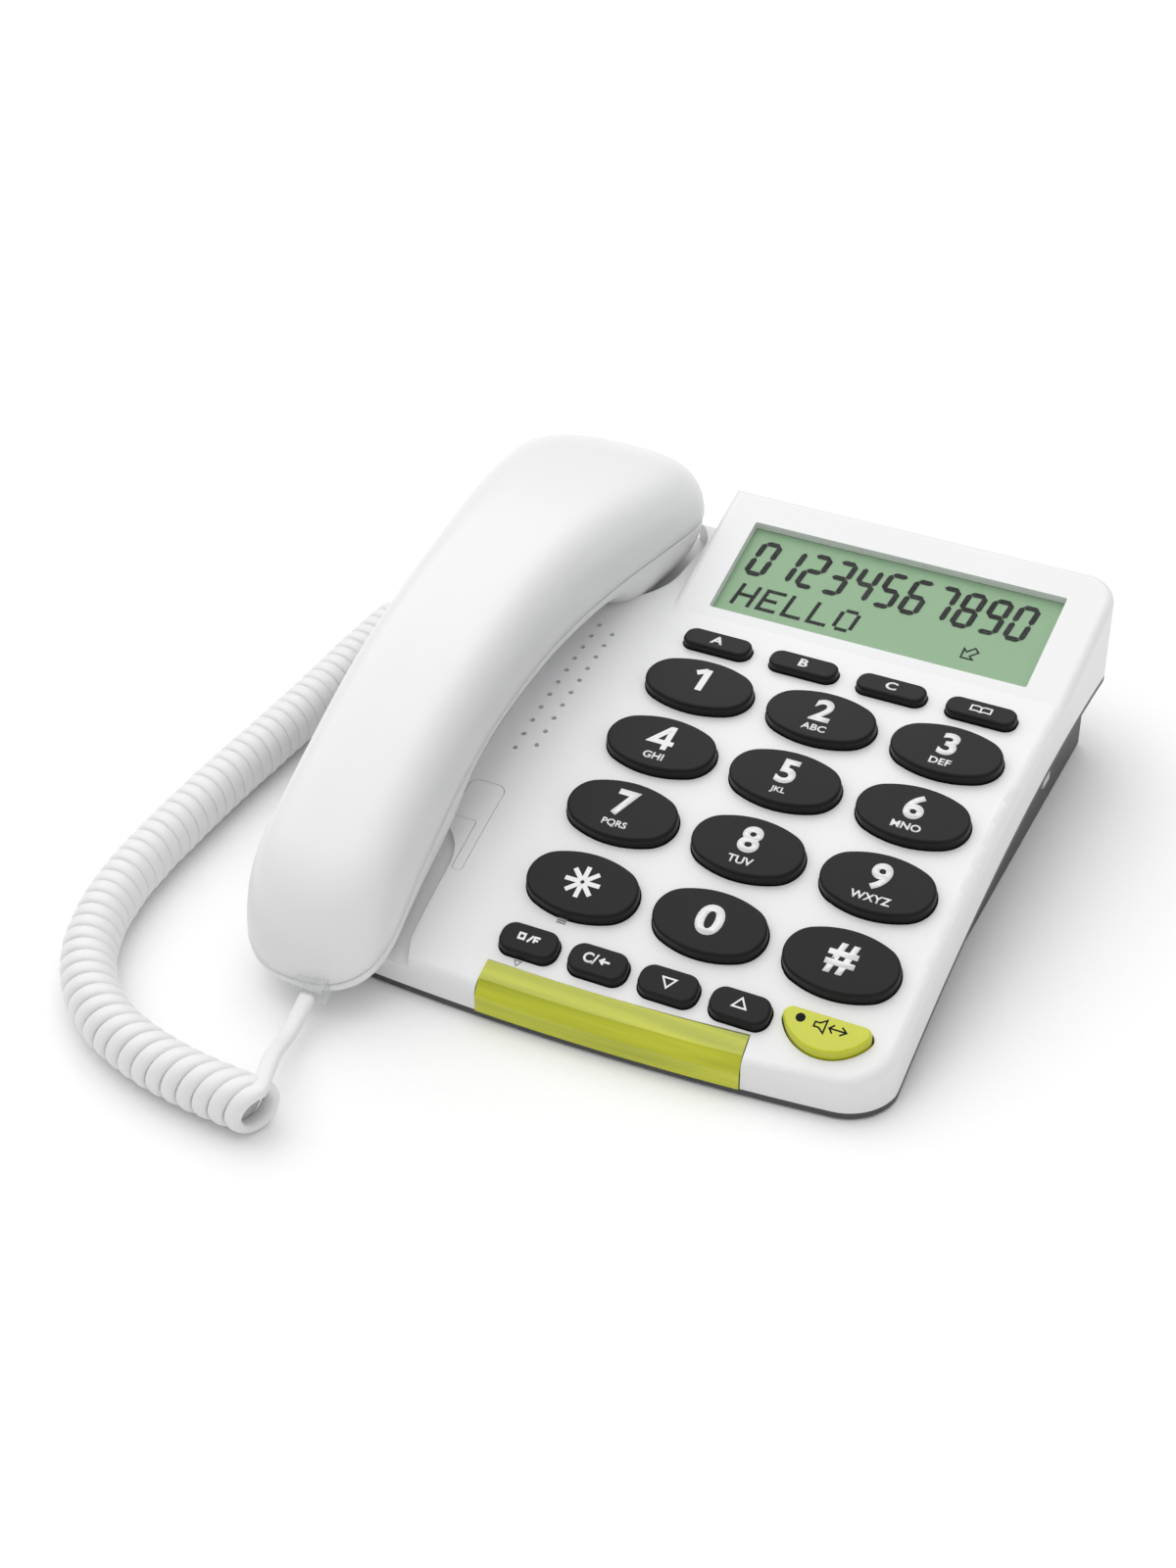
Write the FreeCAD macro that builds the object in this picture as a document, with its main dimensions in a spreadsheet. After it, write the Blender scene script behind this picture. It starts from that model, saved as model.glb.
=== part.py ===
import FreeCAD, Part
import math
import os
from FreeCAD import Placement, Rotation, Vector

# A corded desk phone with big keys. +Z is up, +Y runs from the front edge to the display, and the
# handset lies along the left side (-X). The origin is on the desk, under the middle of the phone.
doc = FreeCAD.newDocument("DeskPhone")
sheet = doc.addObject("Spreadsheet::Sheet", "Sizes")

SIZES = {
    # base outline, seen from above
    "base_left": -80.5,
    "base_right": 84.0,
    "base_front": -86.5,
    "base_back": 88.5,
    "front_bow": 640.0,
    "front_corner": 13.0,
    "back_corner": 9.0,
    # side view: the deck is an arc that rises to the back
    "deck_radius": 332.0,
    "keypad_x": 30.4,
    "keypad_y": -22.5,
    "keypad_z": 33.0,
    "keypad_tilt": 12.0,
    "key_height": 3.0,
    "small_key_height": 2.5,
    "wall": 2.4,
    "skirt_depth": 12.2,
    "skirt_floor": 2.2,
    "rim_thick": 1.6,
    "deck_round": 3.0,
    # dark bottom shell
    "shell_inset": 4.5,
    "shell_back": 80.0,
    "shell_floor": 0.6,
    "shell_wall": 2.0,
    # display block
    "block_left": -24.5,
    "crease_y": 42.3,
    "block_tilt": 14.6,
    "window_x": 29.1,
    "window_length": 87.0,
    "window_width": 32.4,
    "window_start": 3.6,
    "window_sink": 1.1,
    # keys
    "column_pitch": 33.0,
    "row_pitch": 23.4,
    "big_half_length": 14.2,
    "big_half_width": 8.8,
    "big_end_round": 7.4,
    "small_row": 52.8,
    "menu_row": -53.3,
    "small_pitch": 23.75,
    "menu_pitch": 18.0,
    "menu_centre": -11.8,
    "small_half_length": 9.1,
    "small_half_width": 3.4,
    "menu_half_length": 7.4,
    "menu_half_width": 3.9,
    "boost_x": 35.9,
    "boost_row": -49.2,
    "boost_radius": 12.0,
    "boost_sink": 2.6,
    "key_travel": 1.6,
    "key_gap": 0.35,
    "flange": 0.9,
    "flange_thick": 1.0,
    "cap_wall": 1.5,
    "edge_round": 0.8,
    # boards and sheets under the keys, below the key-top arc
    "sheet_top": -14.2,
    "sheet_thick": 0.8,
    "dome_height": 1.4,
    "board_thick": 1.6,
    # light bar
    "bar_left": -16.4,
    "bar_right": 50.4,
    "bar_gap": 0.25,
    # handset
    "handset_x": -56.0,
    "mouth_end": -102.5,
    "ear_end": 93.5,
    "mouth_half": 18.5,
    "grip_half": 20.0,
    "ear_half": 28.0,
    "rim_height": 50.0,
    "rim_radius": 230.0,
    "top_height": 69.5,
    "top_radius": 190.0,
    "arch_y": 16.0,
    "ear_face": 29.5,
    "handset_wall": 2.4,
    "handset_round": 10.0,
    "cup_gap": 1.2,
    "lift": 110.0,
    "plunger_travel": 3.5,
    # cord
    "lead_diameter": 3.8,
    "coil_diameter": 13.8,
}
for row, (alias, value) in enumerate(SIZES.items(), start=1):
    sheet.set(f"A{row}", alias)
    sheet.set(f"B{row}", str(value))
    sheet.setAlias(f"B{row}", alias)
doc.recompute()

NODES = []


def size(alias):
    """The value of one cell of the sheet."""
    return float(sheet.get(alias))


def node(item, label):
    """Names a finished sub-part, which also names its file."""
    item.Label = label
    NODES.append(item)
    return item


def bind(item, sizes):
    """Sets properties: text is an expression on the sheet, a number is itself."""
    for name, given in sizes.items():
        if isinstance(given, str):
            item.setExpression(name, given)
        else:
            setattr(item, name, given)


# ---------------------------------------------------------------- geometry helpers

TILT = math.radians(size("keypad_tilt"))
KEY_ARC = size("deck_radius") + size("key_height")
ARC_Y = size("keypad_y") + KEY_ARC * math.sin(TILT)
ARC_Z = size("keypad_z") - KEY_ARC * math.cos(TILT)
MIDDLE_X = (size("base_left") + size("base_right")) / 2
HALF_WIDTH = (size("base_right") - size("base_left")) / 2
FAR = 200.0

SIDE = Rotation(Vector(1, 1, 1), 120)  # a sketch's x runs along Y, its y along Z
FLAT = Rotation()
KEYPAD = Placement(
    Vector(size("keypad_x"), size("keypad_y"), size("keypad_z")),
    Rotation(Vector(1, 0, 0), size("keypad_tilt")),
)


def deck_z(y, drop=0.0):
    """Height of the deck arc, or of an arc that much below it."""
    return ARC_Z + math.sqrt((size("deck_radius") - drop) ** 2 - (y - ARC_Y) ** 2)


def arc3(start, middle, end):
    return Part.Arc(Vector(*start), Vector(*middle), Vector(*end))


def line(start, end):
    return Part.LineSegment(Vector(*start), Vector(*end))


def deck_arc(y_from, y_to, drop=0.0):
    """Part of the deck arc in the side view."""
    ys = (y_from, (y_from + y_to) / 2, y_to)
    return arc3(*[(y, deck_z(y, drop), 0) for y in ys])


def circle_z(y, top, radius, centre_y):
    """Height at y of a circle whose highest point is at centre_y."""
    return top - radius + math.sqrt(radius**2 - (y - centre_y) ** 2)


def rounded(points, radii):
    """A closed outline: straight sides, each corner rounded by its own radius (0 stays sharp)."""
    corners = [Vector(*point, 0) for point in points]
    if isinstance(radii, (int, float)):
        radii = [radii] * len(corners)
    ends = []
    arcs = []
    for index, (corner, radius) in enumerate(zip(corners, radii)):
        if radius == 0:
            ends.append((corner, corner))
            arcs.append(None)
            continue
        back = (corners[index - 1] - corner).normalize()
        ahead = (corners[(index + 1) % len(corners)] - corner).normalize()
        half = back.getAngle(ahead) / 2
        reach = radius / math.tan(half)
        inward = (back + ahead).normalize()
        middle = corner + inward * (radius / math.sin(half) - radius)
        ends.append((corner + back * reach, corner + ahead * reach))
        arcs.append(Part.Arc(ends[-1][0], middle, ends[-1][1]))
    outline = []
    for index, arc in enumerate(arcs):
        if arc:
            outline.append(arc)
        after = ends[(index + 1) % len(ends)][0]
        if (after - ends[index][1]).Length > 1e-6:
            outline.append(Part.LineSegment(ends[index][1], after))
    return outline


def rectangle(x0, y0, x1, y1, radius=0.0):
    return rounded([(x0, y0), (x1, y0), (x1, y1), (x0, y1)], radius)


def oval(x, y, half_length, half_width, end_round):
    """Four tangent arcs: two round ends and two long, slightly full sides."""
    reach = half_length - end_round
    full = half_width - end_round
    side_round = (reach**2 + half_width**2 - end_round**2) / (2 * full)
    drop = side_round - half_width
    touch = side_round / (side_round - end_round)
    tx, ty = reach * touch, -drop + drop * touch
    corners = [(x + tx, y + ty), (x - tx, y + ty), (x - tx, y - ty), (x + tx, y - ty)]
    return [
        arc3((*corners[3], 0), (x + half_length, y, 0), (*corners[0], 0)),
        arc3((*corners[0], 0), (x, y + half_width, 0), (*corners[1], 0)),
        arc3((*corners[1], 0), (x - half_length, y, 0), (*corners[2], 0)),
        arc3((*corners[2], 0), (x, y - half_width, 0), (*corners[3], 0)),
    ]


def half_moon(x, flat, sink, radius, corner, grow=0.0):
    """A disc cut off straight at flat, which is below its centre by sink, with rounded tips."""
    y = flat + sink
    radius += grow
    corner += grow / 2
    flat += grow
    drop = y - flat + corner
    reach = math.sqrt((radius - corner) ** 2 - drop**2)
    scale = radius / (radius - corner)
    tip = Vector(x + reach * scale, y - drop * scale, 0)
    tip_left = Vector(x - reach * scale, y - drop * scale, 0)
    turn = math.sqrt(0.5) * corner
    right_middle = Vector(x + reach + turn, flat - corner + turn, 0)
    left_middle = Vector(x - reach - turn, flat - corner + turn, 0)
    return [
        Part.Arc(tip, right_middle, Vector(x + reach, flat, 0)),
        line((x + reach, flat, 0), (x - reach, flat, 0)),
        Part.Arc(Vector(x - reach, flat, 0), left_middle, tip_left),
        Part.Arc(tip_left, Vector(x, y - radius, 0), tip),
    ]


def base_outline(inset=0.0):
    """The base from above: a gently bowed front, straight sides and rounded corners."""
    half = HALF_WIDTH - inset
    bow = size("front_bow") - inset
    front = size("front_corner") - inset
    back = size("back_corner") - inset
    back_y = size("base_back") - inset
    centre_y = size("base_front") + size("front_bow")
    corner_y = centre_y - math.sqrt((bow - front) ** 2 - (half - front) ** 2)
    scale = bow / (bow - front)
    touch = ((half - front) * scale, centre_y + (corner_y - centre_y) * scale)
    lean = Vector(touch[0] - (half - front), touch[1] - corner_y, 0).normalize()
    toward = (lean + Vector(1, 0, 0)).normalize() * front
    turn = back * (1 - math.sqrt(0.5))

    def at(x, y):
        return (MIDDLE_X + x, y, 0)

    return [
        arc3(at(-touch[0], touch[1]), at(0, centre_y - bow), at(*touch)),
        arc3(at(*touch), at(half - front + toward.x, corner_y + toward.y), at(half, corner_y)),
        line(at(half, corner_y), at(half, back_y - back)),
        arc3(at(half, back_y - back), at(half - turn, back_y - turn), at(half - back, back_y)),
        line(at(half - back, back_y), at(back - half, back_y)),
        arc3(at(back - half, back_y), at(turn - half, back_y - turn), at(-half, back_y - back)),
        line(at(-half, back_y - back), at(-half, corner_y)),
        arc3(at(-half, corner_y), at(front - half - toward.x, corner_y + toward.y), at(-touch[0], touch[1])),
    ]


# ---------------------------------------------------------------- document helpers


def sketch(name, outlines, turn=FLAT, start=(0, 0, 0)):
    """A free sketch of one or more closed outlines."""
    item = doc.addObject("Sketcher::SketchObject", name)
    item.Placement = Placement(Vector(*start), turn)
    for piece in outlines:
        item.addGeometry(piece, False)
    item.Visibility = False
    return item


def extrude(name, outline, length, turn=FLAT, start=(0, 0, 0), placement=None):
    """Part::Extrusion of an outline along its sketch's normal."""
    item = doc.addObject("Part::Extrusion", name)
    item.Base = sketch(name + "_outline", outline, turn, start)
    item.DirMode = "Normal"
    item.Solid = True
    bind(item, {"LengthFwd": length})
    if placement:
        item.Base.Placement = placement.multiply(item.Base.Placement)
    return item


def across(name, outline, x0, x1):
    """A side-view outline, extruded from x0 to x1."""
    return extrude(name, outline, x1 - x0, SIDE, (x0, 0, 0))


def upward(name, outline, z0, z1, placement=None):
    """A plan-view outline, extruded from z0 to z1."""
    return extrude(name, outline, z1 - z0, FLAT, (0, 0, z0), placement)


def box(name, corner, sizes, placement=None):
    item = doc.addObject("Part::Box", name)
    bind(item, dict(zip(("Length", "Width", "Height"), sizes)))
    item.Placement = Placement(Vector(*corner), FLAT)
    if placement:
        item.Placement = placement.multiply(item.Placement)
    return item


def cylinder(name, centre, radius, height, axis=(0, 0, 1), placement=None):
    item = doc.addObject("Part::Cylinder", name)
    bind(item, {"Radius": radius, "Height": height})
    item.Placement = Placement(Vector(*centre), Rotation(Vector(0, 0, 1), Vector(*axis)))
    if placement:
        item.Placement = placement.multiply(item.Placement)
    return item


def fuse(name, items):
    item = doc.addObject("Part::MultiFuse", name)
    item.Shapes = items
    return item


def common(name, items):
    item = doc.addObject("Part::MultiCommon", name)
    item.Shapes = items
    return item


def cut(name, base, tools):
    item = doc.addObject("Part::Cut", name)
    item.Base = base
    item.Tool = tools[0] if len(tools) == 1 else fuse(name + "_tools", tools)
    return item


def fillet(name, base, radius, wanted):
    """Rounds the edges of the base's shape that the test accepts."""
    doc.recompute()
    item = doc.addObject("Part::Fillet", name)
    item.Base = base
    chosen = [index for index, edge in enumerate(base.Shape.Edges, start=1) if wanted(edge)]
    item.Edges = [(index, radius, radius) for index in chosen]
    doc.recompute()
    return item


def edge_on(height, inside=None):
    """A test for edges that lie wholly at the height given by a function of x and y."""

    def wanted(edge):
        span = edge.LastParameter - edge.FirstParameter
        spots = [edge.valueAt(edge.FirstParameter + span * part) for part in (0.1, 0.5, 0.9)]
        on = all(abs(spot.z - height(spot.x, spot.y)) < 0.02 for spot in spots)
        return on and (inside is None or all(inside(spot) for spot in spots))

    return wanted


# ---------------------------------------------------------------- keys: where each one is

ROWS = [1.5, 0.5, -0.5, -1.5]
BIG_KEYS = ["key_1", "key_2", "key_3", "key_4", "key_5", "key_6", "key_7", "key_8", "key_9"]
BIG_KEYS += ["key_star", "key_0", "key_hash"]
MEMORY_KEYS = ["memory_key_a", "memory_key_b", "memory_key_c", "phone_book_key"]
MENU_KEYS = ["mute_key", "clear_key", "down_key", "up_key"]
BOOST_CORNER = 2.2


def key_table():
    """Each key's name, centre on the tilted keypad plane, outline and height over the deck."""
    table = []
    for index, name in enumerate(BIG_KEYS):
        x = (index % 3 - 1) * size("column_pitch")
        y = ROWS[index // 3] * size("row_pitch")
        table.append((name, x, y, "big", size("key_height")))
    for index, name in enumerate(MEMORY_KEYS):
        x = (index - 1.5) * size("small_pitch")
        table.append((name, x, size("small_row"), "small", size("small_key_height")))
    for index, name in enumerate(MENU_KEYS):
        x = size("menu_centre") + (index - 1.5) * size("menu_pitch")
        table.append((name, x, size("menu_row"), "menu", size("small_key_height")))
    table.append(("boost_key", size("boost_x"), size("boost_row"), "boost", size("small_key_height")))
    return table


def key_outline(kind, x, y, grow=0.0):
    """A key's outline, or one grown by a gap, a flange or a wall."""
    if kind == "big":
        sizes = [size(name) + grow for name in ("big_half_length", "big_half_width", "big_end_round")]
        return oval(x, y, *sizes)
    if kind == "boost":
        return half_moon(x, y, size("boost_sink"), size("boost_radius"), BOOST_CORNER, grow)
    half_length = size(kind + "_half_length") + grow
    half_width = size(kind + "_half_width") + grow
    return rectangle(x - half_length, y - half_width, x + half_length, y + half_width, half_width * 0.86)


def sag(y):
    """How far the key-top arc is below its middle, at y on the keypad plane."""
    return KEY_ARC - math.sqrt(KEY_ARC**2 - y**2)


def key_reach(kind, y):
    """The largest distance of a key's edge from the keypad's middle line."""
    if kind == "boost":
        return abs(y) + size("boost_radius") - size("boost_sink") + size("flange")
    return abs(y) + size(kind + "_half_width") + size("flange")


def flange_top(kind, y):
    """The flange sits just under the deck, which is lowest at the key's far edge."""
    return -sag(key_reach(kind, y)) - size("key_height") - size("wall") - 0.4


KEYS = key_table()

# ---------------------------------------------------------------- handset outline


def handset_plan(grow=0.0):
    """The handset from above: narrow at the mouth end, wide at the ear end."""
    x = size("handset_x")
    mouth = size("mouth_half") + grow
    grip = size("grip_half") + grow
    ear = size("ear_half") + grow
    front = size("mouth_end") - grow
    back = size("ear_end") + grow
    points = [
        (x - mouth, front),
        (x + mouth, front),
        (x + grip, -10),
        (x + ear, 62),
        (x + ear - 3, back),
        (x - ear + 3, back),
        (x - ear, 62),
        (x - grip, -10),
    ]
    radii = [15 + grow, 15 + grow, 160, 60, 22 + grow, 22 + grow, 60, 160]
    return rounded(points, radii)


def handset_arc(top, radius, grow=0.0):
    """A long arc of the handset in the side view, past both its ends."""
    y = size("arch_y")
    ends = (-115.0, 115.0)
    centre = top - radius
    reach = radius + grow
    spots = []
    for spot in (ends[0], y, ends[1]):
        spots.append((spot, centre + math.sqrt(reach**2 - (spot - y) ** 2), 0))
    return spots


def handset_upper_form(name, inset):
    """The rounded form above the parting line."""
    top = handset_arc(size("top_height"), size("top_radius"), -inset)
    rim = handset_arc(size("rim_height"), size("rim_radius"))
    if inset:
        rim = [(y, z - 5, 0) for y, z, _ in rim]
    profile = [arc3(*top), line(top[2], rim[2]), arc3(rim[2], rim[1], rim[0]), line(rim[0], top[0])]
    slab = across(name + "_side", profile, -120, 20)
    form = common(name + "_form", [slab, upward(name + "_plan", handset_plan(-inset), -5, 90)])

    def height(x, y):
        return circle_z(y, size("top_height") - inset, size("top_radius") - inset, size("arch_y"))

    return fillet(name + "_round", form, size("handset_round") - inset, edge_on(height))


EAR_CAP = (38.0, 92.3)
MOUTH_CAP = (-101.5, -49.0)
EAR_ROUND = 20.0
MOUTH_ROUND = 12.0
GRIP_DROP = 7.5
MOUTH_SLOPE = 20.0
MOUTH_LOW = 2.7


def cap_plan(name, grow=0.0):
    """The ear or mouth cap of the handset, seen from above."""
    x = size("handset_x")
    if name == "ear":
        half, ends, radius = size("ear_half") - 1.2, EAR_CAP, EAR_ROUND
    else:
        half, ends, radius = size("mouth_half") - 0.8, MOUTH_CAP, MOUTH_ROUND
    return rectangle(x - half - grow, ends[0] - grow, x + half + grow, ends[1] + grow, radius + grow)


def mouth_face(y):
    """Height of the mouth cap's sloping face."""
    return MOUTH_LOW + (y - MOUTH_CAP[0]) * math.tan(math.radians(MOUTH_SLOPE))


def handset_lower_form(name, inset):
    """The grip under the parting line, with the ear and mouth caps standing down from it."""
    rim = handset_arc(size("rim_height"), size("rim_radius"))
    if inset:
        rim = [(y, z + 5, 0) for y, z, _ in rim]
    low = handset_arc(size("rim_height") - GRIP_DROP, size("rim_radius"), 0.0)
    low = [(y, z + inset, 0) for y, z, _ in low]
    profile = [arc3(*rim), line(rim[2], low[2]), arc3(low[2], low[1], low[0]), line(low[0], rim[0])]
    grip_side = across(name + "_grip_side", profile, -120, 20)
    grip = common(name + "_grip", [grip_side, upward(name + "_grip_plan", handset_plan(-inset), -5, 90)])
    caps = []
    for cap in ("ear", "mouth"):
        faces = {"ear": (size("ear_face") + inset,) * 2, "mouth": None}[cap]
        y0, y1 = (20.0, 100.0) if cap == "ear" else (-110.0, -30.0)
        if faces is None:
            faces = (mouth_face(y0) + inset * 1.1, mouth_face(y1) + inset * 1.1)
        tops = [circle_z(y, size("rim_height"), size("rim_radius"), size("arch_y")) - 1 for y in (y0, y1)]
        side = [(y0, faces[0]), (y1, faces[1]), (y1, tops[1]), (y0, tops[0])]
        slab = across(f"{name}_{cap}_side", rounded(side, 0), -120, 20)
        form = common(f"{name}_{cap}", [slab, upward(f"{name}_{cap}_plan", cap_plan(cap, -inset), -5, 90)])

        def height(x, y, low=faces, ends=(y0, y1)):
            return low[0] + (low[1] - low[0]) * (y - ends[0]) / (ends[1] - ends[0])

        caps.append(fillet(f"{name}_{cap}_round", form, 6.0 - inset, edge_on(height)))
    return fuse(name + "_form", [grip] + caps)


# ---------------------------------------------------------------- base housings


def side_slab(name, top_drop, y0, y1, x0, x1, bottom):
    """A slab under the deck arc, from y0 to y1, down to a flat bottom."""
    profile = [
        line((y0, bottom, 0), (y0, deck_z(y0, top_drop), 0)),
        deck_arc(y0, y1, top_drop),
        line((y1, deck_z(y1, top_drop), 0), (y1, bottom, 0)),
        line((y1, bottom, 0), (y0, bottom, 0)),
    ]
    return across(name, profile, x0, x1)


def deck_layer(name, top_drop, low_drop, y0, y1):
    """A layer between two arcs under the deck, from y0 to y1."""
    profile = [
        deck_arc(y0, y1, top_drop),
        line((y1, deck_z(y1, top_drop), 0), (y1, deck_z(y1, low_drop), 0)),
        deck_arc(y1, y0, low_drop),
        line((y0, deck_z(y0, low_drop), 0), (y0, deck_z(y0, top_drop), 0)),
    ]
    return across(name, profile, -FAR / 2, FAR / 2)


def skirt_line(drop, floor):
    """Where an arc below the deck comes down to a flat floor at the front."""
    return ARC_Y - math.sqrt((size("deck_radius") - drop) ** 2 - (floor - ARC_Z) ** 2)


def curved_layer(name, top_drop, top_floor, low_drop, low_floor):
    """A layer between two arcs, each flat at the front where it meets its floor."""
    y0 = -FAR / 2
    y1 = FAR / 2
    outline = [line((y0, top_floor, 0), (skirt_line(top_drop, top_floor), top_floor, 0))]
    outline.append(deck_arc(skirt_line(top_drop, top_floor), y1, top_drop))
    outline.append(line((y1, deck_z(y1, top_drop), 0), (y1, deck_z(y1, low_drop), 0)))
    outline.append(deck_arc(y1, skirt_line(low_drop, low_floor), low_drop))
    outline.append(line((skirt_line(low_drop, low_floor), low_floor, 0), (y0, low_floor, 0)))
    outline.append(line((y0, low_floor, 0), (y0, top_floor, 0)))
    return across(name, outline, -FAR / 2, FAR / 2)


def skirt_cutter(name, drop, floor, y1=FAR / 2):
    """Everything below the arc that is that far under the deck, and below its floor at the front."""
    y0 = -FAR / 2
    outline = [line((y0, -20, 0), (y0, floor, 0)), line((y0, floor, 0), (skirt_line(drop, floor), floor, 0))]
    outline.append(deck_arc(skirt_line(drop, floor), y1, drop))
    outline.append(line((y1, deck_z(y1, drop), 0), (y1, -20, 0)))
    outline.append(line((y1, -20, 0), (y0, -20, 0)))
    return across(name, outline, -FAR / 2, FAR / 2)


BLOCK_SLOPE = math.tan(math.radians(size("block_tilt")))
BLOCK = Placement(
    Vector(size("window_x"), size("crease_y"), deck_z(size("crease_y"))),
    Rotation(Vector(1, 0, 0), size("block_tilt")),
)
SADDLE = (-62.0, 36.0)
SADDLE_RIGHT = -44.5
SADDLE_DROP = 4.0
CUP_FLOOR = size("ear_face") - 0.3
MOUTH_CUP = [(-76.5, -110), (-25.5, -110), (-36.8, -80), (-36.8, -47.5), (-76.5, -47.5)]
BAR_PROFILE = [(-80.0, 12.9), (-84.7, 10.9), (-86.9, 6.8), (-86.9, 2.2), (-84.4, 2.2)]
BAR_PROFILE += [(-84.4, 5.6), (-82.9, 8.0), (-79.0, 9.8)]
BAR_ROOM = [(-79.7, 14.0), (-90.0, 14.0), (-90.0, 1.0), (-84.1, 1.0), (-84.1, 5.5), (-82.7, 7.8)]
BAR_ROOM += [(-78.7, 9.7)]


def block_height(y, drop=0.0):
    """Height of the display block's top plane."""
    return deck_z(size("crease_y")) - drop + (y - size("crease_y")) * BLOCK_SLOPE


def display_block(name, drop, inset, y0):
    """A wedge under the display plane."""
    y1 = FAR / 2
    side = [(y0, 25), (y1, 25), (y1, block_height(y1, drop)), (y0, block_height(y0, drop))]
    wedge = across(name + "_side", rounded(side, 0), size("block_left") + inset, FAR / 2)
    return common(name, [wedge, upward(name + "_plan", base_outline(inset), 0, 70)])


def light_bar_form(name, grow):
    """The bar follows the bowed front, so its profile turns about the bow's centre."""
    centre = Vector(MIDDLE_X, size("base_front") + size("front_bow"), 0)
    left = math.degrees(math.asin((size("bar_left") - grow - MIDDLE_X) / size("front_bow")))
    right = math.degrees(math.asin((size("bar_right") + grow - MIDDLE_X) / size("front_bow")))
    outline = rounded(BAR_ROOM if grow else BAR_PROFILE, 0)
    turned = Rotation(Vector(0, 0, 1), left)
    item = doc.addObject("Part::Revolution", name)
    item.Source = sketch(name + "_profile", outline, SIDE, (MIDDLE_X, 0, 0))
    about = Placement(centre, turned).multiply(Placement(centre, FLAT).inverse())
    item.Source.Placement = about.multiply(item.Source.Placement)
    item.Axis = Vector(0, 0, 1)
    item.Base = centre
    item.Angle = right - left
    item.Solid = True
    return item


def key_holes():
    """Openings for the keys, parallel to the direction in which they all travel."""
    holes = []
    for name, x, y, kind, _ in KEYS:
        outline = key_outline(kind, x, y, size("key_gap"))
        holes.append(upward(name + "_hole", outline, -16, 10, KEYPAD))
    return holes


def sound_holes():
    """Two rows of small round holes over the loudspeaker."""
    holes = []
    for x, first, count in ((-37.5, 27.2, 11), (-32.7, 24.8, 10)):
        for index in range(count):
            y = first - index * 4.93
            holes.append(cylinder("sound_hole", (x, y, 20), 0.65, 25))
    return holes


# each screw boss: x, y, the height it reaches, and whether a rib ties it to the right wall
BOSSES = [
    (-70.0, -40.0, 20.5, False),
    (-48.0, 70.0, 28.0, False),
    (73.7, -45.0, 15.5, True),
    (73.7, 66.0, 28.5, True),
]
BOSS_RADIUS = 3.6
BOSS_FOOT = 2.8


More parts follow.
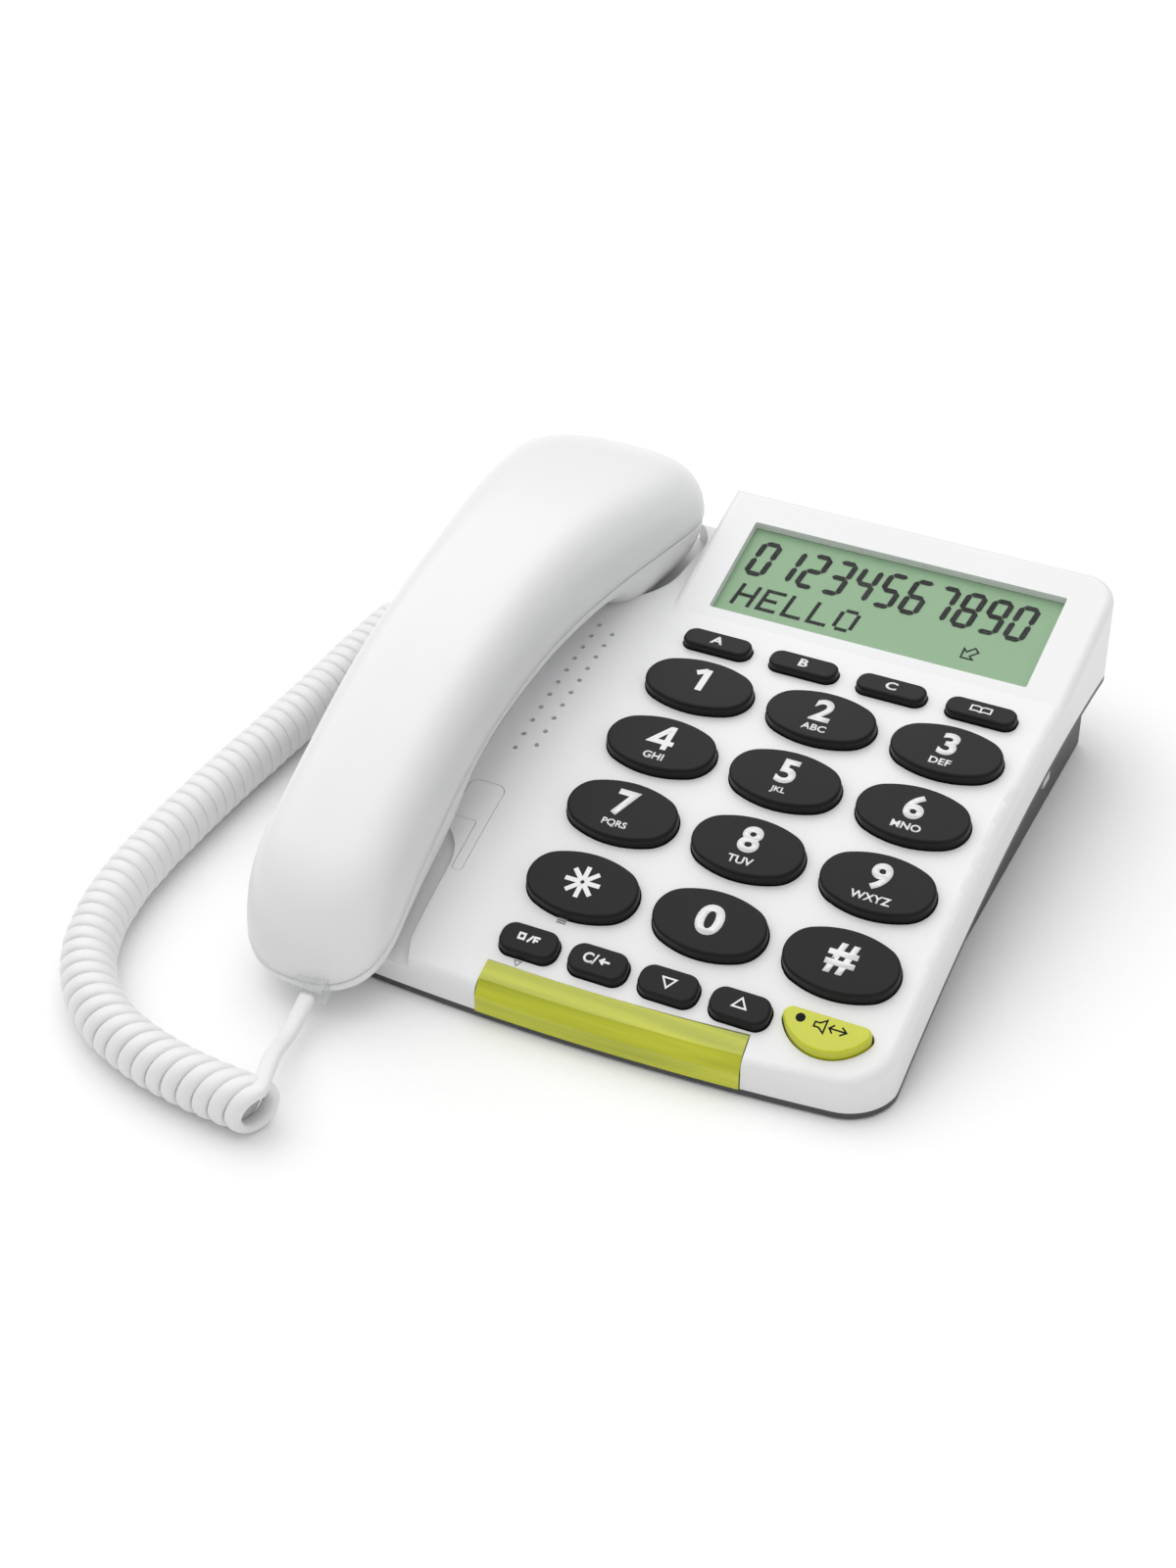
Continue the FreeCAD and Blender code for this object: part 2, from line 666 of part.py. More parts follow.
def make_top_housing():
    """White top housing: arched deck, skirt, display block, cradle and all its openings."""
    wall = size("wall")
    slab_side = side_slab("deck_side", 0, -FAR / 2, FAR / 2, -FAR / 2, FAR / 2, -10)
    slab = common("deck_slab", [slab_side, upward("deck_plan", base_outline(), -15, 70)])
    rounded_slab = fillet("deck_round", slab, size("deck_round"), edge_on(lambda x, y: deck_z(y)))
    block = display_block("display_block", 0, 0, size("crease_y") - 14)

    on_block = edge_on(lambda x, y: block_height(y), lambda spot: spot.y > size("crease_y") - 13)
    rounded_block = fillet("block_round", block, 2.5, on_block)
    outer = fuse("housing_outer", [rounded_slab, rounded_block])
    saddle_floor = side_slab("saddle_room", SADDLE_DROP, *SADDLE, -FAR / 2, SADDLE_RIGHT, -10)
    saddle_box = upward("saddle_box", rectangle(-FAR / 2, SADDLE[0], SADDLE_RIGHT, SADDLE[1], 6), 0, 70)
    saddle = cut("saddle_cut", saddle_box, [saddle_floor])
    ear_cup = upward("ear_cup", cap_plan("ear", size("cup_gap")), CUP_FLOOR, 70)
    ear_side = box("ear_side", (-FAR / 2, 60, CUP_FLOOR), (100 + size("handset_x"), 60, 40))
    mouth_slab = mouth_room("mouth_slab", 0.5)
    mouth_plan = rounded(MOUTH_CUP, [0, 0, 12, 12, 12])
    mouth_cup = common("mouth_cup", [mouth_slab, upward("mouth_plan", mouth_plan, -5, 80)])
    left_side = box("mouth_left", (-FAR / 2, -FAR / 2, 0), (24, 40, 70))
    mouth_left = common("mouth_left_cut", [left_side, mouth_room("mouth_slab_left", 0.5)])

    hollow_plan = upward("hollow_plan", base_outline(wall), -15, 70)
    steps = [(-33.5, -100), (100, -100), (100, 100), (-22.1, 100), (-22.1, 27), (-42.1, 27), (-42.1, -45)]
    steps += [(-33.5, -45)]
    step_plan = upward("step_plan", rounded(steps, 0), -15, 70)
    main_side = side_slab("main_side", wall, -FAR / 2, FAR / 2, -FAR / 2, FAR / 2, -12)
    main_hollow = common("main_hollow", [main_side, hollow_plan, step_plan])
    block_hollow = display_block("block_hollow", wall, wall, size("crease_y") - 4)
    front_side = side_slab("cradle_side", SADDLE_DROP + wall, -44, 27.5, -FAR / 2, -40, -12)
    back_box = box("cradle_back", (-FAR / 2, 27, -12), (100 - 23.5, 80, CUP_FLOOR - wall + 12))
    mouth_low = [(-84, 0), (-45, 0), (-45, mouth_face(-45) - 3.2), (-84, mouth_face(-84) - 3.2)]
    mouth_hollow = across("mouth_hollow", rounded(mouth_low, 0), -FAR / 2, -34.5)
    rooms = fuse("cradle_rooms", [front_side, back_box, mouth_hollow])
    cradle_hollow = common("cradle_hollow", [rooms, hollow_copy(wall)])
    under = skirt_cutter("under_skirt", size("skirt_depth"), size("skirt_floor"))

    half = size("window_length") / 2
    start = size("window_start")
    pane = rectangle(-half, start, half, start + size("window_width"), 0.6)
    window = upward("window_hole", pane, -8, 8, BLOCK)
    cover_side = deck_layer("cover_room_side", -5, 1.3, -70, -25)
    cover_room = common("cover_room", [upward("cover_room_plan", cover_plan(0.15), 0, 60), cover_side])
    plunger_slot = box("plunger_slot", (-60.3, 50.7, 10), (8.6, 5.6, 30))
    tools = [saddle, ear_cup, ear_side, mouth_cup, mouth_left, main_hollow, block_hollow]
    tools += [cradle_hollow, under, window, cover_room, plunger_slot]
    tools.append(light_bar_form("bar_slot", size("bar_gap")))
    tools += key_holes() + sound_holes()
    shell = cut("housing_shell", outer, tools)
    posts = []
    bores = []
    for x, y, top, ribbed in BOSSES:
        posts.append(cylinder("boss_post", (x, y, BOSS_FOOT), BOSS_RADIUS, top - BOSS_FOOT))
        bores.append(cylinder("boss_hole", (x, y, 0), 1.32, 12.5))
        if ribbed:
            posts.append(box("boss_rib", (x, y - 1.2, top - 2.6), (8.9, 2.4, 2.4)))
    node(cut("top_housing", fuse("housing_and_posts", [shell] + posts), bores), "top_housing")


def mouth_room(name, gap):
    """The room above the mouth cap's sloping face, and a gap below it."""
    side = [(-110, mouth_face(-110) - gap), (-20, mouth_face(-20) - gap), (-20, 70), (-110, 70)]
    return across(name, rounded(side, 0), -120, 20)


def hollow_copy(wall):
    return upward("cradle_plan", base_outline(wall), -15, 70)


def cover_plan(grow=0.0):
    """The small cover plate in the deck, stepped round the corner of the mouth cup."""
    points = [
        (-43.0 - grow, -46.0 - grow),
        (-36.0 - grow, -46.0 - grow),
        (-36.0 - grow, -60.0 - grow),
        (-33.5 + grow, -60.0 - grow),
        (-33.5 + grow, -34.5 + grow),
        (-43.0 - grow, -34.5 + grow),
    ]
    return rounded(points, [0.8 + grow, 0.8 - grow, 0.8 + grow, 0.8 + grow, 2.4 + grow, 2.4 + grow])


def make_bottom_shell():
    """Dark bottom shell: a flush rim under the skirt and an inset tub that stands on the desk."""
    drop = size("skirt_depth")
    rim_low = drop + size("rim_thick")
    rim_layer = curved_layer("rim_layer", drop, size("skirt_floor"), rim_low, size("shell_floor"))
    rim = common("rim_ring", [rim_layer, upward("rim_plan", base_outline(), -15, 70)])
    tub_room = skirt_cutter("tub_room", drop + 0.2, size("skirt_floor") - 0.1, size("shell_back"))
    tub_plan = upward("tub_plan", base_outline(size("shell_inset")), size("shell_floor"), 60)
    tub = common("tub", [tub_room, tub_plan])
    inner = size("shell_inset") + size("shell_wall")
    floor_top = size("shell_floor") + size("shell_wall")
    inside_plan = upward("shell_inside", base_outline(inner), floor_top, 60)
    depth = FAR / 2 + size("shell_back") - size("shell_wall")
    inside_box = box("shell_inside_box", (-FAR / 2, -FAR / 2, 0), (FAR, depth, 60))
    inside = common("shell_room", [inside_plan, inside_box])
    holes = []
    for x, y, _, _ in BOSSES:
        holes.append(cylinder("screw_hole", (x, y, -1), 1.7, 10))
        holes.append(cylinder("screw_sink", (x, y, -1), 3.2, 2.95))
    for x, y in FEET:
        holes.append(cylinder("foot_hole", (x, y, -1), 6.15, 2.4))
    holes.append(box("door_hole", (DOOR[0], DOOR[1], -1), (DOOR[2], DOOR[3], 8)))
    holes.append(box("line_hole", (36.0, 70.0, 4.4), (12.0, 20, 8.4)))
    holes.append(box("jack_hole", (-90.0, 57.0, 8.2), (20.0, 10.4, 8.0)))
    holes.append(box("switch_hole", (70, SWITCH_Y - 6.5, 12.8), (20, 13.0, 4.6)))
    return node(cut("bottom_shell", fuse("shell_solid", [rim, tub]), [inside] + holes), "bottom_shell")


FEET = [(-60.0, -64.0), (64.0, -50.0), (64.0, 50.0), (-60.0, 50.0)]
DOOR = (-4.0, 0.0, 52.0, 40.0)
SWITCH_Y = 42.0

# ---------------------------------------------------------------- keys


def role_plane(body, role):
    return next(item for item in body.Origin.OriginFeatures if item.Role == role)


def body_sketch(body, name, outline, role, lift=0.0):
    """A sketch on one of the body's own origin planes."""
    item = body.newObject("Sketcher::SketchObject", name)
    item.AttachmentSupport = [(role_plane(body, role), "")]
    item.MapMode = "FlatFace"
    item.AttachmentOffset = Placement(Vector(0, 0, lift), FLAT)
    for piece in outline:
        item.addGeometry(piece, False)
    return item


def make_key(name, x, y, kind, height):
    """A hollow cap with a flange under the deck and a top that follows the deck's arc."""
    body = doc.addObject("PartDesign::Body", "Body_" + name)
    flange_z = flange_top(kind, y)
    skirt = body.newObject("PartDesign::Pad", "Flange")
    outline = key_outline(kind, 0, y, size("flange"))
    skirt.Profile = body_sketch(body, "FlangeOutline", outline, "XY_Plane", flange_z)
    skirt.Reversed = True
    skirt.setExpression("Length", "Sizes.flange_thick")
    cap = body.newObject("PartDesign::Pad", "Cap")
    cap.Profile = body_sketch(body, "CapOutline", key_outline(kind, 0, y), "XY_Plane", flange_z)
    cap.Length = 4 - flange_z
    radius = KEY_ARC - size("key_height") + height
    ends = (y - 25, y + 25)
    arc = [(end, -KEY_ARC + math.sqrt(radius**2 - end**2), 0) for end in (ends[0], y, ends[1])]
    top = [arc3(*arc), line(arc[2], (ends[1], 12, 0)), line((ends[1], 12, 0), (ends[0], 12, 0))]
    top.append(line((ends[0], 12, 0), arc[0]))
    trim = body.newObject("PartDesign::Pocket", "TopArc")
    trim.Profile = body_sketch(body, "TopOutline", top, "YZ_Plane")
    trim.Type = "ThroughAll"
    trim.Midplane = True
    doc.recompute()
    faces = trim.Shape.Faces
    highest = max(range(len(faces)), key=lambda index: faces[index].CenterOfMass.z)
    rounding = body.newObject("PartDesign::Fillet", "EdgeRound")
    rounding.Base = (trim, [f"Face{highest + 1}"])
    rounding.setExpression("Radius", "Sizes.edge_round")
    hollow = body.newObject("PartDesign::Pocket", "Hollow")
    low = flange_z - size("flange_thick")
    outline = key_outline(kind, 0, y, -size("cap_wall"))
    hollow.Profile = body_sketch(body, "HollowOutline", outline, "XY_Plane", low)
    hollow.Reversed = True
    roof = -KEY_ARC + math.sqrt(radius**2 - (key_reach(kind, y) - size("flange")) ** 2)
    hollow.Length = roof - size("cap_wall") - low
    body.Tip = hollow
    body.Placement = KEYPAD.multiply(Placement(Vector(x, 0, 0), FLAT))
    return node(body, name)


# ---------------------------------------------------------------- boards, display and sound


def make_under_keys():
    """The silicone dome sheet and the main board, both flat and parallel to the key plane."""
    thick = size("sheet_thick")
    outline = rectangle(-48.5, -60.5, 39.0, 58.5, 3.0)
    base = upward("sheet_base", outline, size("sheet_top") - thick, size("sheet_top"), KEYPAD)
    domes = []
    for name, x, y, kind, _ in KEYS:
        centre = y - 4.5 if kind == "boost" else y
        radius = 3.0 if kind == "big" else 1.5
        foot = (x, centre, size("sheet_top") - 0.2)
        domes.append(cylinder(name + "_dome", foot, radius, size("dome_height") + 0.2, placement=KEYPAD))
    node(fuse("dome_sheet", [base] + domes), "dome_sheet")
    top = size("sheet_top") - thick
    board = upward("board_plate", outline, top - size("board_thick"), top, KEYPAD)
    chips = []
    for x, y, length, width in ((0, 20, 14, 14), (20, -15, 9, 12), (-25, -5, 12, 9)):
        low = top - size("board_thick") - 1.6
        chips.append(box("chip", (x, y, low), (length, width, 1.8), KEYPAD))
    node(fuse("main_board", [board] + chips), "main_board")


def make_display():
    """Clear window, liquid-crystal glass and its carrier, stacked under the display opening."""
    half = size("window_length") / 2
    start = size("window_start")
    width = size("window_width")
    sink = size("window_sink")
    pane = rectangle(-half + 0.1, start + 0.1, half - 0.1, start + width - 0.1, 0.5)
    node(upward("display_window", pane, -sink - 1.0, -sink, BLOCK), "display_window")
    glass = rectangle(-half - 2, start - 1.2, half + 2, start + width + 1.2, 0.5)
    node(upward("display_glass", glass, -4.2, -2.5, BLOCK), "display_glass")
    frame = rectangle(-half - 4, start - 1.6, half + 3.5, start + width + 2.2, 1.0)
    node(upward("display_carrier", frame, -7.5, -4.2, BLOCK), "display_carrier")


def make_speaker(name, centre, radius, depth):
    """A loudspeaker or ear capsule: a dished cone in a metal pot, turned from one profile."""
    profile = [
        (0, 0),
        (radius * 0.45, 0),
        (radius * 0.45, depth * 0.5),
        (radius, depth * 0.7),
        (radius, depth),
        (radius * 0.85, depth),
        (radius * 0.3, depth * 0.62),
        (0, depth * 0.72),
    ]
    item = doc.addObject("Part::Revolution", name)
    item.Source = sketch(name + "_profile", rounded(profile, 0), Rotation(Vector(1, 0, 0), 90), centre)
    item.Axis = Vector(0, 0, 1)
    item.Base = Vector(*centre)
    item.Angle = 360.0
    item.Solid = True
    return node(item, name)


def make_light_bar():
    """The translucent ring-indicator bar and the small lamp board behind it."""
    node(light_bar_form("light_bar", 0.0), "light_bar")
    strip = box("lamp_strip", (-8.0, -81.5, 3.2), (50.0, 1.2, 4.4))
    lamps = [box("lamp", (x, -82.5, 4.2), (3.0, 1.2, 2.4)) for x in (0.0, 15.5, 31.0)]
    node(fuse("lamp_board", [strip] + lamps), "lamp_board")


def make_cover():
    """The small cover plate, flush with the deck."""
    layer = deck_layer("cover_layer", 0.05, 1.2, -70, -25)
    node(common("cradle_cover", [upward("cover_plan", cover_plan(), 0, 60), layer]), "cradle_cover")


def make_sockets():
    """Modular sockets: one for the handset cord on the left side, one for the line at the back."""
    line_body = box("line_body", (34.0, 62.0, 3.2), (16.0, 15.8, 12.4))
    line_mouth = box("line_mouth", (37.0, 66.0, 5.0), (10.0, 20.0, 7.0))
    node(cut("line_socket", line_body, [line_mouth]), "line_socket")
    jack_body = box("jack_body", (-73.8, 55.5, 6.0), (11.4, 13.4, 12.4))
    jack_mouth = box("jack_mouth", (-80.0, 58.2, 8.6), (15.0, 8.0, 6.4))
    node(cut("cord_socket", jack_body, [jack_mouth]), "cord_socket")


def make_battery():
    """Battery door in the floor, three small cells and their contact strips."""
    x, y, length, width = DOOR
    corner = (x + 0.2, y + 0.2, size("shell_floor"))
    plate = box("door_plate", corner, (length - 0.4, width - 0.4, "Sizes.shell_wall"))
    grip = box("door_grip", (x + 20, y + 3, 0), (12, 1.2, 1.2))
    node(cut("battery_door", plate, [grip]), "battery_door")
    cells = []
    for index in range(3):
        cell_y = y + 8.2 + index * 11.4
        barrel = cylinder("cell_barrel", (x + 3.0, cell_y, 8.2), 5.2, 43.5, (1, 0, 0))
        cap = cylinder("cell_cap", (x + 46.4, cell_y, 8.2), 1.9, 1.1, (1, 0, 0))
        cells.append(fuse("cell", [barrel, cap]))
    node(fuse("battery_cells", cells), "battery_cells")
    strips = [box("contact", (x + along, y + 3.0, 4.0), (0.6, 34.0, 8.6)) for along in (2.2, 47.7)]
    node(fuse("battery_contacts", strips), "battery_contacts")


def make_fasteners():
    """Self-tapping housing screws, driven from below, and the rubber feet."""
    screws = []
    for x, y, _, _ in BOSSES:
        head = cylinder("screw_head", (x, y, 0.8), 2.8, 1.1)
        slot = box("screw_slot", (x - 2.0, y - 0.4, 0.7), (4.0, 0.8, 0.6))
        shank = cylinder("screw_shank", (x, y, 1.8), 1.3, 9.4)
        screws.append(fuse("screw", [cut("screw_top", head, [slot]), shank]))
    node(fuse("housing_screws", screws), "housing_screws")
    feet = [cylinder("foot", (x, y, 0), 6.0, 1.4) for x, y in FEET]
    node(fuse("rubber_feet", feet), "rubber_feet")


def make_hook():
    """The hook plunger that the handset's ear cap holds down, and its spring."""
    top = size("ear_face") - 0.05
    plunger = box("plunger_head", (-59.8, 51.2, 14.0), (7.6, 4.6, top - 14.0))
    flange = box("plunger_flange", (-61.5, 49.5, 13.0), (11.0, 8.0, 1.2))
    stem = cylinder("plunger_stem", (-56.0, 53.5, 9.5), 1.2, 4.0)
    node(fuse("hook_plunger", [plunger, flange, stem]), "hook_plunger")
    barrel = cylinder("spring_outer", (-56.0, 53.5, 4.6), 2.4, 8.2)
    node(cut("hook_spring", barrel, [cylinder("spring_inner", (-56.0, 53.5, 4.0), 1.7, 10.0)]), "hook_spring")
    seat = cylinder("spring_pin", (-56.0, 53.5, 2.6), 1.4, 4.0)
    plate = box("switch_plate", (-63.0, 47.0, 2.6), (14.0, 13.0, 2.0))
    node(fuse("hook_switch", [plate, seat]), "hook_switch")


def make_ringer_switch():
    """The ringer slide in the dark shell's right side."""
    grip = box("ringer_grip", (77.0, SWITCH_Y - 2.5, 13.3), (4.6, 5.0, 3.6))
    plate = box("ringer_plate", (75.4, SWITCH_Y - 9.0, 12.0), (1.8, 18.0, 6.2))
    node(fuse("ringer_switch", [grip, plate]), "ringer_switch")


# ---------------------------------------------------------------- handset


def make_handset():
    """Upper and lower shells that meet at the arched parting line, and what they hold."""
    wall = size("handset_wall")
    upper_outer = handset_upper_form("upper", 0.0)
    upper_inner = handset_upper_form("upper_hollow", wall)
    node(cut("handset_upper", upper_outer, [upper_inner]), "handset_upper")
    lower_outer = handset_lower_form("lower", 0.0)
    lower_inner = handset_lower_form("lower_hollow", wall)
    x = size("handset_x")
    holes = []
    ear_y = sum(EAR_CAP) / 2
    for index in range(6):
        turn = math.radians(index * 60)
        spot = (x + 7 * math.cos(turn), ear_y + 7 * math.sin(turn), 20)
        holes.append(cylinder("ear_hole", spot, 1.2, 20))
    holes.append(cylinder("ear_hole", (x, ear_y, 20), 1.2, 20))
    for offset in (-4, 0, 4):
        holes.append(cylinder("mouth_hole", (x + offset, -68, 5), 0.9, 18))
    holes.append(box("handset_jack_hole", (-4.1, -9.0, -3.6), (8.2, 16.0, 6.4), PLUG))
    for spot in HANDSET_SCREWS:
        holes.append(cylinder("handset_screw_hole", (x, spot, 20), 1.6, 40))
    node(cut("handset_lower", lower_outer, [lower_inner] + holes), "handset_lower")
    face = size("ear_face") + wall + 0.2
    make_speaker("ear_capsule", (x, ear_y, face), 15.0, 8.0)
    capsule = cylinder("microphone", (x, -68, mouth_face(-68) + 4.6), 4.8, 5.0)
    node(capsule, "microphone")
    node(box("balance_weight", (x - 9.0, -25.0, 48.4), (18.0, 40.0, 4.0)), "balance_weight")
    socket = box("handset_socket_body", (-6.0, 3.2, -3.0), (12.0, 11.0, 7.4), PLUG)
    mouth = box("handset_socket_mouth", (-4.0, 0.0, -2.6), (8.0, 11.0, 5.2), PLUG)
    node(cut("handset_socket", socket, [mouth]), "handset_socket")
    screws = []
    for spot in HANDSET_SCREWS:
        low = circle_z(spot, size("rim_height"), size("rim_radius"), size("arch_y")) - GRIP_DROP
        head = cylinder("handset_screw_head", (x, spot, low - 1.0 + 1.2), 1.5, 1.2)
        shank = cylinder("handset_screw_shank", (x, spot, low + 1.0), 1.1, 9.0)
        screws.append(fuse("handset_screw", [head, shank]))
    node(fuse("handset_screws", screws), "handset_screws")


HANDSET_SCREWS = (-38.0, 24.0)
# the handset's plug points up into the mouth cap, along the slope of its face
PLUG = Placement(Vector(-51.0, -96.5, 11.2), Rotation(Vector(1, 0, 0), MOUTH_SLOPE))
BASE_PLUG = Placement(Vector(-80.6, 62.2, 12.2), Rotation(Vector(0, 0, 1), -90))

# ---------------------------------------------------------------- cord


def bend_radius(before, corner, after):
    """The largest arc that the two runs at a corner allow."""
    turn = math.pi - (before - corner).getAngle(after - corner)
    run = min((before - corner).Length, (after - corner).Length)
    return 0.45 * run / math.tan(turn / 2)


def tube(name, route, diameter):
    """A round tube along straight runs joined by tangent arcs."""
    points = [Vector(*point) for point in route]
    edges = []
    start = points[0]
    radii = []
    for before, corner, after in zip(points, points[1:], points[2:]):
        radius = bend_radius(before, corner, after)
        radii.append(round(radius, 1))
        back = (before - corner).normalize()
        ahead = (after - corner).normalize()
        half = back.getAngle(ahead) / 2
        reach = radius / math.tan(half)
        inward = (back + ahead).normalize()
        middle = corner + inward * (radius / math.sin(half) - radius)
        edges.append(Part.LineSegment(start, corner + back * reach).toShape())
        edges.append(Part.Arc(corner + back * reach, middle, corner + ahead * reach).toShape())
        start = corner + ahead * reach
    edges.append(Part.LineSegment(start, points[-1]).toShape())
    path = Part.Wire(edges)
    first = points[1] - points[0]
    section = Part.Wire(Part.makeCircle(diameter / 2, points[0], first))
    shape = path.makePipeShell([section], True, True)
    expected = math.pi * diameter**2 / 4 * path.Length
    ratio = round(shape.Volume / expected, 4)
    print(name, "length", round(path.Length, 1), "radii", radii, "volume ratio", ratio)
    item = doc.addObject("Part::Feature", name)
    item.Shape = shape
    return node(item, name)


LEAD_FRONT = [
    (-51.0, -104.6, 8.25),
    (-50.7, -111.0, 5.9),
    (-49.8, -118.0, 5.6),
    (-47.9, -127.0, 9.0),
    (-45.2, -136.0, 10.8),
]
COIL = [
    (-41.0, -141.5, 7.0),
    (-54.0, -141.0, 7.0),
    (-72.0, -138.5, 7.0),
    (-90.0, -132.0, 7.0),
    (-104.0, -119.0, 7.0),
    (-111.5, -102.0, 7.0),
    (-114.5, -82.0, 7.0),
    (-114.2, -60.0, 7.0),
    (-113.2, -38.0, 7.0),
    (-111.2, -16.0, 7.0),
    (-109.8, 6.0, 7.0),
    (-109.2, 28.0, 7.0),
    (-107.4, 46.0, 7.0),
]
LEAD_REAR = [
    (-107.5, 45.0, 7.0),
    (-106.5, 54.0, 7.2),
    (-102.4, 61.6, 9.0),
    (-95.6, 64.3, 11.0),
    (-89.0, 62.2, 12.2),
]


def make_plug(name, place):
    """A clear modular plug with its latch, pointing along +Y before it is placed."""
    body = box(name + "_body", (-3.8, -8.4, -2.4), (7.6, 13.4, 4.8))
    latch = box(name + "_latch", (-1.6, -8.4, -3.3), (3.2, 8.0, 0.9))
    item = fuse(name, [body, latch])
    item.Placement = place
    return node(item, name)


def make_cord():
    """The lead from the handset plug, the curly stretch, the rear lead and the base plug."""
    make_plug("handset_plug", PLUG)
    make_plug("base_plug", BASE_PLUG)
    tube("cord_lead_front", LEAD_FRONT, size("lead_diameter"))
    tube("cord_coil", COIL, size("coil_diameter"))
    tube("cord_lead_rear", LEAD_REAR, size("lead_diameter"))


# ---------------------------------------------------------------- build, check and write

make_top_housing()
make_bottom_shell()
for key in KEYS:
    make_key(*key)
make_under_keys()
make_display()
make_speaker("loudspeaker", (-34.0, 2.0, 19.0), 11.5, 7.5)
make_light_bar()
make_cover()
make_sockets()
make_battery()
make_fasteners()
make_hook()
make_ringer_switch()
make_handset()
make_cord()
doc.recompute()

# drawn about the base, then moved so that zero is under the middle of the whole phone
centring = Placement(Vector(0, -(size("mouth_end") + size("ear_end")) / 2, 0), FLAT)
for item in NODES:
    item.Placement = centring.multiply(item.Placement)

faults = [item.Name for item in doc.Objects if "Invalid" in item.State or "Error" in item.State]
for item in NODES:
    if item.Shape.isNull() or not item.Shape.isValid() or item.Shape.Volume <= 0:
        faults.append(item.Label)
if faults:
    raise RuntimeError("failed: " + ", ".join(faults))
os.makedirs("parts", exist_ok=True)
whole = FreeCAD.BoundBox()
for item in NODES:
    item.Shape.exportStep(f"parts/{item.Label}.step")
    bounds = item.Shape.BoundBox
    if not item.Label.startswith("cord") and not item.Label.endswith("_plug"):
        whole.add(bounds)
print(len(NODES), "nodes; object box", whole)
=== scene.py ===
# %% [markdown]
# # A corded desk phone with big keys
# The phone is already designed as an assembly of parts. This file gives those parts their finish and adds
# what is easier to make with mesh tools: a soft-cornered handset, printed legends, the figures on the
# display and a curly cord. Everything is in metres, in the design's own frame.

# %% Load the design
import math
import bmesh
import bpy
import numpy as np
from mathutils import Matrix, Vector


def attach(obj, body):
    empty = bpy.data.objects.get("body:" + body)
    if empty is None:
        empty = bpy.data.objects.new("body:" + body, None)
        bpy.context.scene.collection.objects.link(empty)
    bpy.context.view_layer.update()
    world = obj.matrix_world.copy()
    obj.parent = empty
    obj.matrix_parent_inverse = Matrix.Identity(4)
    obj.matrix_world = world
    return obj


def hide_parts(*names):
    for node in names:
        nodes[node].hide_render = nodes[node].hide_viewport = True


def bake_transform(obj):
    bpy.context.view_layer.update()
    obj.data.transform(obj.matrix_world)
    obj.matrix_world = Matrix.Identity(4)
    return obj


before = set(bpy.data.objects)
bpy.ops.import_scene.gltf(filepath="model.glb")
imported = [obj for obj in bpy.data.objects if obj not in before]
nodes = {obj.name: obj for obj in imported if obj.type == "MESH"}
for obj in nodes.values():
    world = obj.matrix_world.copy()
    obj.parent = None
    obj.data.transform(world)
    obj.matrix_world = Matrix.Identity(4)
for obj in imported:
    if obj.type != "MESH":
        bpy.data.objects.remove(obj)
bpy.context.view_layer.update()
MM = 0.001
# the measures below are from the middle of the base, which is this far from the design's zero
BASE_MIDDLE = Vector((0.0, 4.5 * MM, 0.0))

# %% [markdown]
# ## The camera
# A camera on a long lens stands in front of the right-hand corner and looks down at the keys. Two turns
# aim it: one about the vertical, one up from straight down. A long lens keeps the far edge of the phone
# nearly as large as the near one, as in a catalogue picture.

# %% Camera
AZIMUTH = math.radians(25.346)
ELEVATION = math.radians(37.111)
camera_data = bpy.data.cameras.new("camera")
camera_data.lens = 65.25
camera_data.clip_start = 0.01
camera = bpy.data.objects.new("camera", camera_data)
camera.location = Vector((0.2235, -0.5306, 0.4507)) + BASE_MIDDLE
camera.rotation_euler = (math.pi / 2 - ELEVATION, 0.0, AZIMUTH)
bpy.context.scene.collection.objects.link(camera)
bpy.context.scene.camera = camera
print("camera at", tuple(camera.location))

# %% [markdown]
# ## Shader maths in Python
# A material is a graph of nodes. Wiring one by hand takes many lines, so a small class wraps an output
# socket and lets Python's operators add the Math nodes. `rough + specks * 0.1` then reads as what it does.
# Colours don't go through Math nodes, which would turn them grey: they are mixed by a Mix node.


# %% A socket that Python can reckon with
class Wire:
    """The output of a node. Its operators add Math nodes to the same material."""

    def __init__(self, bench, socket):
        self.bench = bench
        self.socket = socket

    def maths(self, operation, first, second):
        return self.bench.node("ShaderNodeMath", {"operation": operation}, {0: first, 1: second})

    def __add__(self, other):
        return self.maths("ADD", self, other)

    def __radd__(self, other):
        return self.maths("ADD", other, self)

    def __sub__(self, other):
        return self.maths("SUBTRACT", self, other)

    def __rsub__(self, other):
        return self.maths("SUBTRACT", other, self)

    def __mul__(self, other):
        return self.maths("MULTIPLY", self, other)

    def __rmul__(self, other):
        return self.maths("MULTIPLY", other, self)


print("Wire is ready")

# %% [markdown]
# The other nodes come from one bench for each material. Its `node` method takes the node's type, its
# settings and the values or wires of its sockets, so that every node is made in the same way. The bench
# also knows the three things that nearly every finish needs: noise, a mix of two colours, and the last
# step, which feeds the main shader. Noise is read in the part's own frame, so that the finish moves with it.


